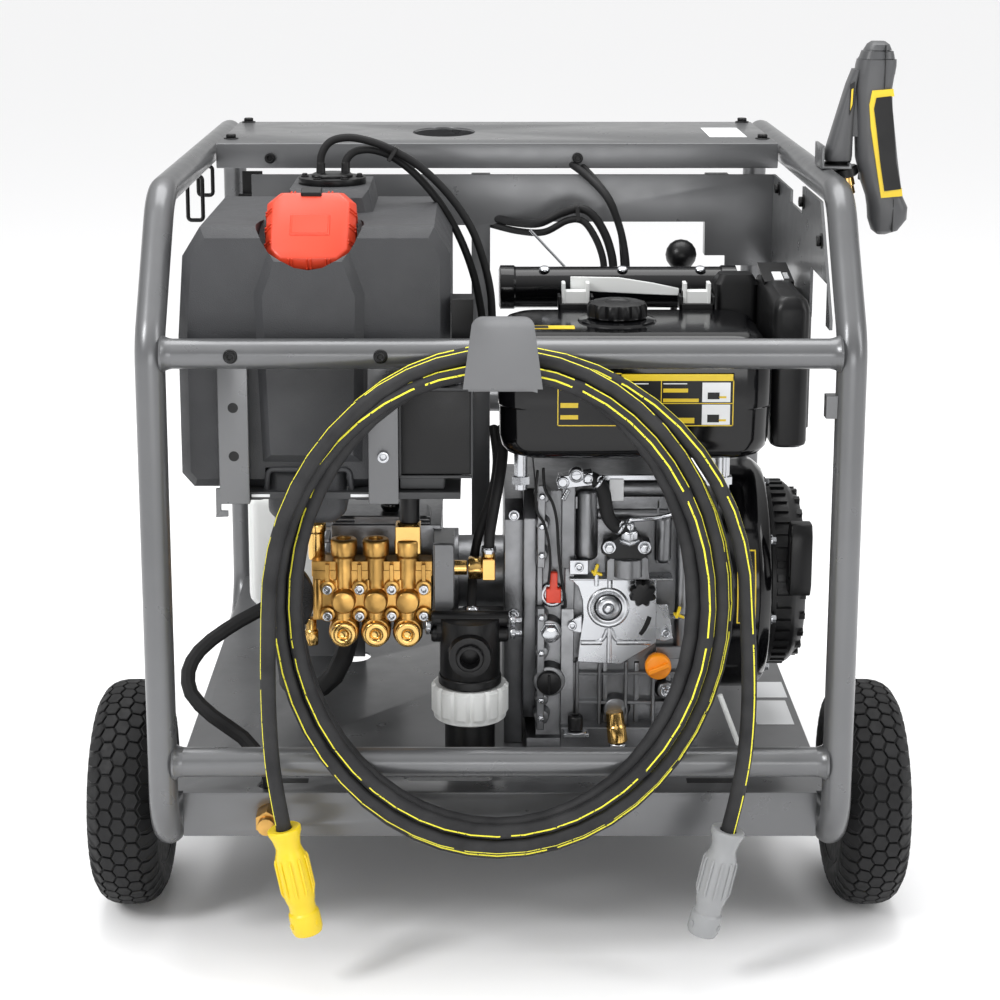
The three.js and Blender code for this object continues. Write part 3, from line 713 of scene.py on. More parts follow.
# ---------------------------------------------------------------- frame and wheels

def side_loop(sign):
    """The bent tube of one side: sloping shoulder at the front, rails drawn in at the bottom."""
    step_in, in_front, in_rear, step_out = RAIL_Y
    x, inner = sign * SIDE_X, sign * (SIDE_X - RAIL_INSET)
    corners = [(x, 0, BOTTOM_Z), (x, 0, SHOULDER[1]), (x, SHOULDER[0], TOP_Z), (x, REAR_Y, TOP_Z),
               (x, REAR_Y, BOTTOM_Z), (x, step_out, BOTTOM_Z), (inner, in_rear, BOTTOM_Z),
               (inner, in_front, BOTTOM_Z), (x, step_in, BOTTOM_Z)]
    return rounded(corners, BEND_R, 12, True)


def add_frame():
    """The cage with its cross tubes, screws and the small fittings on its sheets."""
    for side, sign in SIDES:
        bm = bmesh.new()
        tube(bm, side_loop(sign), TUBE_R, 28, closed=True)
        make(f"cage_side_{side}", "chassis", bm, "frame", (f"side_frame_{side}",))
    for name, y, z in (("upper", 0, UPPER_Z), ("lower", 0, LOWER_Z), ("rear", REAR_Y, 420)):
        bm = bmesh.new()
        end = SIDE_X - TUBE_R + 3
        weld = [(15.05, -9), (15.6, -6), (16.6, -3), (18.6, 0), (17.0, 2.5)]
        rod(bm, (-end, y, z), (end, y, z), TUBE_R, 28)
        for _, sign in SIDES:
            turned(bm, (sign * (end - 1), y, z), (sign, 0, 0), weld, 28)
        make(f"cage_{name}_tube", "chassis", bm, "frame", (f"{name}_cross_tube",))
    kit = Kit("cage")
    screws = kit.part("screws", "black")
    for x in (-264, -117.5):
        turned(screws, (x, -TUBE_R + 0.8, UPPER_Z), FRONT, [(7.4, 0), (6.6, 2)], 28)
        socket_screw(screws, (x, -TUBE_R - 0.8, UPPER_Z), FRONT, 5.2, 3.4)
    for x in (-265, 94):
        socket_screw(screws, (x, 450.4, 788), FRONT, 6.2, 5)
    bolts = kit.part("bolts", "black")
    for _, sign in SIDES:
        for y in (505, 712):
            hex_bolt(bolts, (sign * 316, y, PANEL_TOP), UP, 6.5, 5)
    for y, z in ((404, 758), (212, 768), (84, 745)):
        hex_bolt(bolts, (324, y, z), (-1, 0, 0), 6, 5)
    box(kit.part("sticker", "label_white"), (255, 522, PANEL_TOP + FILM), (300, 634, PANEL_TOP + 0.5))
    box(kit.part("bracket", "frame"), (319.5, -7, 582), (331, 7, 605))
    for x0, x1, y0, y1 in ((292, 336, 300, 352), (290, 332, 214, 290)):
        box(kit.part("floor_labels", "label_white"), (x0, y0, TRAY_TOP + FILM), (x1, y1, TRAY_TOP + 0.5))
    for x in (-250, 196):
        box(kit.part("tray_slots", "label"), (x, 46, TRAY_TOP + FILM), (x + 50, 58, TRAY_TOP + 0.4))
    loops = kit.part("lance_loops", "black")
    for y, low in ((372, 726), (470, 742)):
        ring = [(-352, y, 776), (-352, y, low), (-335, y, low), (-335, y, 776)]
        tube(loops, rounded(ring, 4, 5, True), 2.4, 10, closed=True)
    box(loops, (-326, 712, 704), (-300, 716, 742))
    rod(loops, (-330, 700, 712), (-286, 700, 712), 2.4, 10)
    rod(kit.part("rod", "white"), (240, 150, 238), (262, 152, 180), 3, 12)
    kit.finish()


def add_wheels():
    """Two tyres with rows of blocks, their hubs, and four bolts in each hub."""
    crown = [(0, 122), (9, 121.8), (17, 120.4), (24, 117.4), (31, 111.5), (35, 104), (38, 95)]

    def reach(x):
        """The tyre's radius at a distance from its middle."""
        for (x0, r0), (x1, r1) in zip(crown, crown[1:]):
            if abs(x) <= x1:
                return r0 + (r1 - r0) * (abs(x) - x0) / (x1 - x0)
        return crown[-1][1]

    half = [(67.8, -26), (71, -29), (77, -33), (84, -36), (90, -37.2), (97, -36.6), (104, -34),
            (110, -29.6), (115, -23), (118.2, -12)]
    carcass = half + [(119.2, 0)] + [(r, -x) for r, x in reversed(half)]
    blocks, rows, outer_row = 42, 13.6, 27.6
    for side, sign in SIDES:
        centre = Vector((sign * WHEEL["x"], WHEEL["y"], WHEEL["r"]))
        bm = bmesh.new()
        turned(bm, centre, ACROSS, carcass, 72)
        ends = [f for f in bm.faces if len(f.verts) > 4]
        bmesh.ops.delete(bm, geom=ends, context="FACES_ONLY")
        made = sorted({v for e in bm.edges if e.is_boundary for v in e.verts}, key=lambda v: v.co.x)
        rims = [[v for v in made if v.co.x < centre.x], [v for v in made if v.co.x > centre.x]]
        for ring in rims:
            ring.sort(key=lambda v: math.atan2(v.co.y - centre.y, v.co.z - centre.z))
        for k in range(len(rims[0])):
            j = (k + 1) % len(rims[0])
            bm.faces.new((rims[0][k], rims[0][j], rims[1][j], rims[1][k]))

        def block(outline, turn, sink=5.0):
            """A tread block: an outline of (across, along) millimetres on the tyre's crown."""
            rings = []
            for share, lift in ((1.03, -sink), (1.0, -0.7), (0.9, 0.0)):
                mid = sum(p[0] for p in outline) / len(outline)
                ring = []
                for across, along in outline:
                    x = mid + (across - mid) * share
                    r = reach(x) + lift
                    a = turn + along * share / WHEEL["r"]
                    ring.append(centre + Vector((x, r * math.cos(a), r * math.sin(a))))
                rings.append(ring)
            skin(bm, rings)

        hexagon = [(-8.0, 0.6), (-4.2, -8.3), (4.4, -7.6), (8.0, -0.6), (4.2, 8.3), (-4.4, 7.6)]
        lug = [(-8.0, 0), (-4.2, -7.6), (2, -6.0), (8.6, -7.4), (8.6, 1.5), (2, 7.6), (-4.2, 8.0)]
        for k in range(blocks):
            turn = 2 * math.pi * k / blocks
            step = math.pi / blocks
            for row, offset in ((-rows, 0), (0, step), (rows, 0)):
                block([(row + a, b) for a, b in hexagon], turn + offset)
            for way in (-1, 1):
                block([(way * (outer_row + a), b) for a, b in lug], turn + step, 6.0)
        for way in (-1, 1):
            ring = [(76, way * 33.4), (77, way * 34.6), (79, way * 34.8), (80, way * 33.6)]
            turned(bm, centre, ACROSS, ring, 72)
        make(f"tyre_tread_{side}", f"wheel_{side}", bm, "tyre", (f"tyre_{side}",), angle=28)
        bm = bmesh.new()
        web = [(8.3, -36), (17, -36), (19, -33), (20, -9), (26, -6.5), (47, -5), (52, -7), (58, -26),
               (62, -29), (69, -29.5), (69, -27), (67.4, -25)]
        turned(bm, centre, ACROSS, web + [(r, -x) for r, x in reversed(web)], 64)
        for out in spokes(6):
            for way in (-1, 1):
                slab(bm, centre + out * 37 + Vector((way * 9, 0, 0)), out, ACROSS, (19, 4, 2.2))
        make(f"wheel_hub_{side}", f"wheel_{side}", bm, "rim", (f"wheel_rim_{side}",), 0.5, 1)
        kit = Kit(f"wheel_{side}", f"wheel_{side}")
        cap = kit.part("bolts", "zinc")
        for out in spokes(4, shift=0.5):
            hex_bolt(cap, centre + Vector((sign * 6.2, 0, 0)) + out * 30, (sign, 0, 0), 5)
        kit.finish()


# ---------------------------------------------------------------- auxiliary tank

def add_tank():
    """Straps, sender, fuel lines and battery fittings, and the eight-sided cap."""
    kit = Kit("tank")
    lip = [(-254, 35, 491), (-237, 35, 491), (-234, 35, 520), (-152, 35, 520), (-149, 35, 491),
           (-132, 35, 491)]
    tube(kit.part("sump_lip", "tank"), rounded(lip, 6, 5), 2.8, 12)
    rail = kit.part("rail_slots", "label_white")
    for x in (-250, -150.5):
        box(rail, (x, 21.5, 494.6), (x + 18.5, 22.4, 497.6))
    hooks = kit.part("strap_hooks", "frame")
    strap_y = 15.3
    box(hooks, (-285, strap_y, 476), (-280, 20, 505))
    box(hooks, (-285, strap_y, 476), (-273, 19, 482))
    socket_screw(kit.part("strap_screws", "zinc"), (-117, strap_y, 538.5), FRONT, 6.0, 5)
    hole = [(5.2, 0), (5.2, 0.15), (4.2, 0.3), (0, 0.3)]
    for x, z in ((-266, 588), (-266, 538.5), (-117, 588)):
        turned(kit.part("strap_holes", "label"), (x, strap_y - FILM, z), FRONT, hole, 20)
    flange = kit.part("sender_flange", "black")
    seat = Vector((-177, 212, 795))
    for out in spokes(6, Vector(ACROSS), Vector((0, 1, 0))):
        hex_bolt(flange, seat + out * 29, UP, 3.2, 3)
    turned(flange, seat, UP, [(22, 0), (22, 2.5), (19, 4), (0, 4)], 32)
    lines = kit.part("fuel_lines", "rubber")
    cable(lines, [(-189, 212, 800), (-188, 212, 818), (-178, 213, 832), (-158, 214, 836), (-134, 216, 831),
                  (-113, 218, 822), (-84, 222, 804), (-54, 226, 774), (-30, 229, 738), (-16, 230, 700),
                  (-9, 229, 668), (-7, 228, 640)], 4.3)
    cable(lines, [(-163, 216, 800), (-162, 216, 812), (-152, 218, 821), (-134, 222, 822), (-113, 225, 814),
                  (-88, 229, 794), (-62, 233, 762), (-42, 236, 726), (-28, 238, 688), (-20, 238, 652),
                  (-17, 237, 628)], 4.3)
    tie = kit.part("cable_tie", "black")
    slab(tie, (-113, 221.5, 818), (0.5, 0, 0.8), (0, 1, 0), (8.5, 9, 2.2))
    box(kit.part("fuse_box", "black"), (-49, 30, 655), (-27, 62, 695))
    bay = kit.part("battery_edges", "dark_paint")
    for z in (514, 604):
        box(bay, (-102, 27.5, z - 1.5), (-28, 31, z + 1.5))
    for x in (-102, -30):
        box(bay, (x, 27.5, 514), (x + 2.5, 31, 604))
    box(bay, (-101, 32, 500.5), (-57, 80, 514.6))
    terminals = kit.part("terminals", "zinc")
    for x in (-86, -44):
        turned(terminals, (x, 60, 603), UP, [(6, 0), (6, 6), (5, 8), (0, 8)], 20)
    kit.finish()
    cap = Kit("tank_cap", "tank_cap")
    at = Vector((CAP["x"], CAP["y"], CAP["z"]))
    axis = Vector((0, -math.sin(CAP["tilt"]), math.cos(CAP["tilt"])))
    across, rise = Vector(ACROSS), axis.cross(Vector(ACROSS))
    shell = cap.part("shell", "cap")

    def outline(size, corner, height):
        """A ring of a square with its corners cut."""
        spots = [(size, -corner), (size, corner), (corner, size), (-corner, size), (-size, corner),
                 (-size, -corner), (-corner, -size), (corner, -size)]
        return [at + across * p + rise * q + axis * height for p, q in spots]

    levels = ((42, 30, 0.5), (45, 32, 2), (45, 32, 14), (38.5, 28, 24.5), (36.5, 26.5, 25.2))
    skin(shell, [outline(*level) for level in levels])
    slab(shell, at + axis * 25.4, across, rise, (20, 12, 0.7))
    slab(shell, at + axis * 25.8, across, rise, (18.4, 10.4, 0.8))
    for out, along in ((rise, across), (across, rise)):
        for way in (-1, 1):
            for off in (-20.5, -17, -2, 2, 17, 20.5):
                side = at + axis * 9 + out * way * 44.8 + along * off
                slab(shell, side, along, axis, (0.8, 8, 1.3))
                slope = at + axis * 19.4 + out * way * 41.6 + along * off
                slab(shell, slope, along, axis - out * way * 0.6, (0.8, 6.2, 1.0))
    tab = at + rise * 40 + axis * 22
    slab(cap.part("tab", "black"), tab, across, rise - axis * 0.6, (10.5, 7, 3.4))
    cap.finish({"shell": ("fuel_tank_cap",)}, 1.0)


# ---------------------------------------------------------------- pump and filter

def add_pump():
    """The brass manifold with its valves and screws, the crankcase fins and fittings, and the filter."""
    kit = Kit("pump")
    brass = kit.part("manifold_body", "brass")
    box(brass, (-198, 126, 331), (-72, 185.4, 386))
    valves = (-165, -131, -97)
    box(brass, (-199, 126.5, 379), (-71, 150, 396))
    valve = [(12.5, 0), (12, 30), (11.4, 33), (14, 36), (14.3, 50), (13.2, 52.6), (8, 53), (7.6, 50),
             (0, 50)]
    for x in valves:
        turned(brass, (x, 135, 366), UP, valve, 32)
        turned(brass, (x, 140, 321), FRONT, [(16, 0), (16, 24), (14.5, 27)], 28)
        turned(brass, (x, 140, 354), FRONT, [(13.4, 0), (12.6, 26), (11.2, 28.5), (0, 28.5)], 32)
        turned(brass, (x, 168, 318), UP, [(12, 0), (13.5, 12)], 20)
        turned(brass, (x, 122, 322), UP, [(9, 0), (9.4, 26), (6, 34)], 20)
    columns, rows = (-182, -148, -114, -80), (368, 338.5)
    for x in columns:
        box(brass, (x - 2.2, 120.5, 374), (x + 2.2, 130, 394))
        for z in rows:
            turned(brass, (x, 130, z), FRONT, [(9, 0), (8, 9.6), (7.4, 10.4), (0, 10.4)], 24)
    for x in (-192, -173, -139, -105):
        turned(brass, (x, 131, 332), UP, [(6, 0), (6.5, 4), (6.5, 38), (6, 44)], 16)
    bar = kit.part("top_fittings", "bright_brass")
    box(bar, (-110, 126, 404), (-83.4, 151, 434))
    turned(bar, (-96.5, 138.5, 433.5), UP, [(13, 0), (11.6, 2.5), (10, 2.8)], 24)
    plug = [(13.6, -8), (13.6, 1.0), (12.2, 2.4), (6.4, 2.4), (4.2, -2), (0, -2)]
    for x in valves:
        turned(bar, (x, 106.5, 321), FRONT, plug, 32)
        turned(bar, (x, 135, 415.5), UP, [(7.6, 0), (6.6, 1), (0, 1)], 6)
    relief = [(8, 0), (9, 4), (9, 30), (10.5, 32), (10.5, 40), (8, 43), (8, 50), (5, 52), (0, 52)]
    turned(bar, (-195, 148, 392), UP, relief, 28)
    rod(bar, (-200, 150, 343), (-212, 150, 343), 9.5, 20)
    turned(bar, (-201, 136, 300), UP, [(6.5, 0), (8.5, 1.5), (8.5, 16), (6.5, 18), (6.5, 30)], 6)
    turned(bar, (-212, 150, 343), (-1, 0, 0), [(11.2, 0), (11.2, 9), (10, 10)], 6)
    bolts = kit.part("bolts", "zinc")
    for x in columns:
        for z in rows:
            socket_screw(bolts, (x, 119.8, z), FRONT, 5.2, 7)
    collar = kit.part("hose_guard", "rubber")
    coil = [(9, -2.2), (10.6, -1.2), (10.6, 1.2), (9, 2.2)]
    for k in range(16):
        a = -1.2 + k * 0.15
        spot = Vector((-199 - 7 * math.cos(a), 104, 364 + 22 * math.sin(a)))
        turned(collar, spot, (math.sin(a), 0.1, math.cos(a)), coil, 24)
    fins = kit.part("case_fins", "cast")
    for k in range(5):
        box(fins, (-186, 190, 318 + k * 20), (-64, 316, 322 + k * 20))
    for k in range(8):
        for x0, x1 in ((-181, -156), (-88, -74)):
            box(fins, (x0, 187.5, 397 + k * 4), (x1, 194, 399 + k * 4))
    top = [(-181, 396), (-74, 396), (-74, 424), (-79, 428), (-150, 428), (-176, 428), (-181, 424)]
    prism(fins, top, "y", 190, 240)
    filler = kit.part("filler_cap", "gloss_black")
    turned(filler, (-118, 214, 427), UP, [(9, 0), (9, 3), (11, 4), (11, 10), (9.5, 12), (0, 12)], 28)
    sight = kit.part("sight_glass", "label_yellow")
    turned(sight, (-181, 262, 350), (-1, 0, 0), [(10, 0), (10, 6), (8, 7.5), (0, 7.5)], 28)
    sheet = kit.part("side_bracket", "frame")
    ear = [(-69.5, 328), (-54, 336), (-47.5, 346), (-47.5, 412), (-50, 415), (-69.5, 415)]
    prism(sheet, ear, "y", 125.5, 128)
    box(sheet, (-70, 127.5, 328), (-67.5, 184, 415))
    box(sheet, (-70, 127.5, 412.5), (-47.5, 184, 415))
    elbow = kit.part("elbow", "bright_brass")
    turned(elbow, (-62, 140, 385), ACROSS, [(8, 0), (8, 28)], 24)
    turned(elbow, (-33, 140, 385), ACROSS, [(11.5, 0), (13, 1.2), (13, 14), (11.5, 15.4)], 6)
    box(elbow, (-18, 128, 374), (-4, 152, 397))
    turned(elbow, (-11, 140, 397), UP, [(7, 0), (6.4, 9)], 20)
    lines = kit.part("small_hoses", "rubber")
    cable(lines, [(-11, 140, 399), (-10, 141, 420), (-6, 142, 446), (0, 150, 478), (4, 170, 504),
                  (2, 200, 524)], 6.0)
    cable(lines, [(-28, 112, 330), (-29, 130, 350), (-27, 166, 384), (-20, 168, 420), (-8, 170, 456),
                  (-2, 176, 492), (-6, 200, 526)], 5.2)
    clamp = kit.part("clamps", "zinc")
    for at, way in (((-11, 140, 402), UP), ((-28.4, 120, 340), (0, 0.6, 1))):
        turned(clamp, at, way, [(7.4, 0), (8, 0.4), (8, 6), (7.4, 6.4)], 24)
        slab(clamp, Vector(at) + Vector((0, -9, 3)), ACROSS, UP, (3.6, 2.4, 2.6))
    kit.finish({"manifold_body": ("pump_manifold",)}, 1.2)

    kit = Kit("filter")
    head = kit.part("side_ports", "black")
    x, y, ports_z, mouth_z = -31, 110, 329, 309
    for dz in (-8, 9):
        turned(head, (-72, y, ports_z + dz), ACROSS, [(7, 0), (8.6, 2), (8.6, 80), (7, 82)], 28)
    turned(head, (x, 96, mouth_z), FRONT, [(30, -10), (26, 2), (20, 14), (15.6, 20)], 36)
    turned(head, (x, y, 262), UP, [(33.5, 6.4), (33.5, 14), (32.4, 16)], 40)
    mouth = [(15, 0), (14, 24), (14.5, 25), (14.5, 30), (13.2, 31), (10.4, 31), (10.2, 10), (0, 10)]
    turned(head, (x, 92, mouth_z), FRONT, mouth, 32)
    screws = kit.part("side_bolts", "zinc")
    turned(screws, (-72, y, ports_z), (-1, 0, 0), [(8.6, 0), (8.6, 5), (7.5, 6), (0, 6)], 6)
    for dz in (-7, 7):
        turned(screws, (12, y, ports_z + dz), ACROSS, [(6.6, 0), (6.6, 5), (4, 5.4), (4, 12), (0, 12)], 6)
    kit.finish()
    kit = Kit("filter_nut", "filter_nut")
    nut = kit.part("ribbed", "white")
    wall = [(36.5, 0, 0), (38.5, 1.5, 0), (38.8, 5, 0.4), (41, 8, 1), (41, 35, 1), (38, 37.7, 0.5)]
    fluted(nut, (x, y, 230), UP, wall, 14, 2.4, 8)
    for face in [f for f in nut.faces if len(f.verts) > 10]:
        centre = face.calc_center_median()
        bmesh.ops.inset_region(nut, faces=[face], thickness=9.2)
        bmesh.ops.translate(nut, verts=face.verts, vec=(0, 0, 1.5 if centre.z < 250 else -1.5))
    kit.finish({"ribbed": ("filter_nut",)}, 0)


# ---------------------------------------------------------------- engine

def add_engine_top():
    """The engine's own tank with its plain label and cap, the muffler and the air filter."""
    kit = Kit("engine_tank")
    shell = kit.part("shell", "gloss_black")
    levels = [(519, 30, 20), (520.5, 20, 24), (525, 10, 28), (533, 4, 30), (544, 2, 30), (575, 1.6, 30),
              (577, 0.2, 30), (582, 0, 30), (622, 0, 30), (633, 2, 30), (641, 6, 30), (647, 12, 28),
              (650.2, 20, 24), (651, 30, 20)]
    loft_box(shell, (-2, 278), (60, 240), levels, 8)
    turned(shell, (123, 150, 650), UP, [(42, 0), (40, 3), (34, 4.5), (0, 4.5)], 40)
    plain, yellow = kit.part("label", "label"), kit.part("label_marks", "label_yellow")
    front = 59.6
    box(plain, (58, front, 559), (236.5, 60.6, 614))
    marks = ((58, 236.5, 559, 560), (58, 59, 559, 614), (235.5, 236.5, 559, 614), (58, 236.5, 613, 614),
             (123, 236.5, 606, 614), (162.6, 163.4, 560, 606), (122.6, 123.4, 560, 614),
             (163, 236, 582.2, 583), (165, 190, 594, 598), (165, 201, 584, 587.6),
             (165, 197, 562, 567.6), (61, 79, 578, 583), (61, 79, 566, 570.4), (61, 84, 596, 600),
             (126, 148, 590, 594), (126, 150, 570, 574))
    for x0, x1, z0, z1 in marks:
        box(yellow, (x0, front - 0.25, z0), (x1, front + 0.2, z1))
    pale = kit.part("label_fields", "label_white")
    for z0, z1 in ((584, 604.2), (560.4, 581.4)):
        box(pale, (204.5, front - 0.25, z0), (233, front + 0.2, z1))
    for row in range(9):
        for x in (126, 165):
            z = 603 - row * 4.6
            if all(abs(z - blocked) > 3.6 for blocked in (596, 592, 586, 582, 572, 565)):
                box(pale, (x, front - 0.2, z - 0.5), (x + 24 + (row * 7) % 11, front + 0.2, z + 0.5))
    for z0, z1 in ((587, 594), (563, 571)):
        box(plain, (210, front - 0.4, z0), (222, front - 0.2, z1))
        box(yellow, (221, front - 0.4, z0 + 1), (229, front - 0.2, z0 + 3.2))
    slab(yellow, (54, 112, 651.15), ACROSS, (0, 1, 0), (23, 9, 0.25))
    slab(plain, (42, 112, 651.4), ACROSS, (0, 1, 0), (8, 6.5, 0.15))
    posts = kit.part("posts", "zinc")
    for x in (22, 233):
        rod(posts, (x, 110, 480), (x, 110, 521), 7, 16)
        turned(posts, (x, 110, 486), UP, [(10.5, 0), (10.5, 8)], 6)
    kit.finish({"shell": ("engine_fuel_tank",)}, 0)

    cap = Kit("engine_cap", "engine_cap")
    grip = [(29, 4.8, 0), (31.5, 5.4, 0), (32, 6.5, 1), (32, 16, 1), (30, 19.4, 0.6), (24, 21, 0),
            (14, 21, 0), (12, 19.6, 0), (0, 19.6, 0)]
    fluted(cap.part("fluted", "black"), (123, 150, 651), UP, grip, 12, 4.5)
    cap.finish({"fluted": ("engine_fuel_cap",)}, 0)

    kit = Kit("muffler")
    can = [(20, 0), (24.8, 1.6), (24.8, 17), (23.2, 18.5), (23.2, 248), (24.8, 249.5), (24.8, 265.4),
           (20, 267)]
    turned(kit.part("shell", "gloss_black"), (1, 326, 656.6), ACROSS, can, 40)
    bolt = [(6, 0), (6, 3), (4, 4.4), (0, 4.6)]
    for x in (52, 139, 226):
        turned(kit.part("bolts", "zinc"), (x, 316, 677), (0, -0.4, 0.92), bolt, 20)
    brackets, clips = kit.part("brackets", "black"), kit.part("clips", "white")
    for x in (83, 214):
        box(brackets, (x - 19, 222, 649), (x + 19, 244, 656))
        for way in (-1, 1):
            box(brackets, (x + way * 17.5 - 1.6, 222, 649), (x + way * 17.5 + 1.6, 244, 664))
            box(clips, (x + way * 13 - 2, 226, 655), (x + way * 13 + 2, 242, 678))
        box(clips, (x - 15, 227, 655), (x + 15, 241, 669))
    shield = [(78, 682), (130, 681), (168, 675), (196, 669), (196, 661), (170, 662), (110, 665), (78, 668)]
    prism(kit.part("shield", "white"), shield, "y", 245, 247)
    kit.finish({"shell": ("muffler",)}, 0.6)

    kit = Kit("air_filter")
    cover, plate = kit.part("cover", "black"), kit.part("plate", "label_white")
    for xs, ys, levels in (
            ((282, 320), (110, 290), [(523, 5, 9), (526, 1, 10), (530, 0, 10), (668, 0, 10), (677, 2.5, 10),
                                      (682, 8, 9)]),
            ((284.5, 323), (118, 282), [(540, 3, 9), (543, 0, 10), (664, 0, 10), (667, 3, 9)]),
            ((236, 284), (250, 290), [(560, 3, 8), (564, 0, 9), (672, 0, 9), (682, 6, 8)])):
        loft_box(cover, xs, ys, levels)
    lean = (0, 1, 0.15)
    slab(cover, (301, 250, 684), ACROSS, lean, (16, 34, 2.5))
    slab(plate, (301, 232, 684.8), ACROSS, lean, (5, 14, 0.5))
    for k in range(3):
        slab(plate, (310, 226 + k * 7, 684 + k), ACROSS, lean, (2.6, 1, 0.8))
    kit.finish({"cover": ("air_filter",)}, 0)


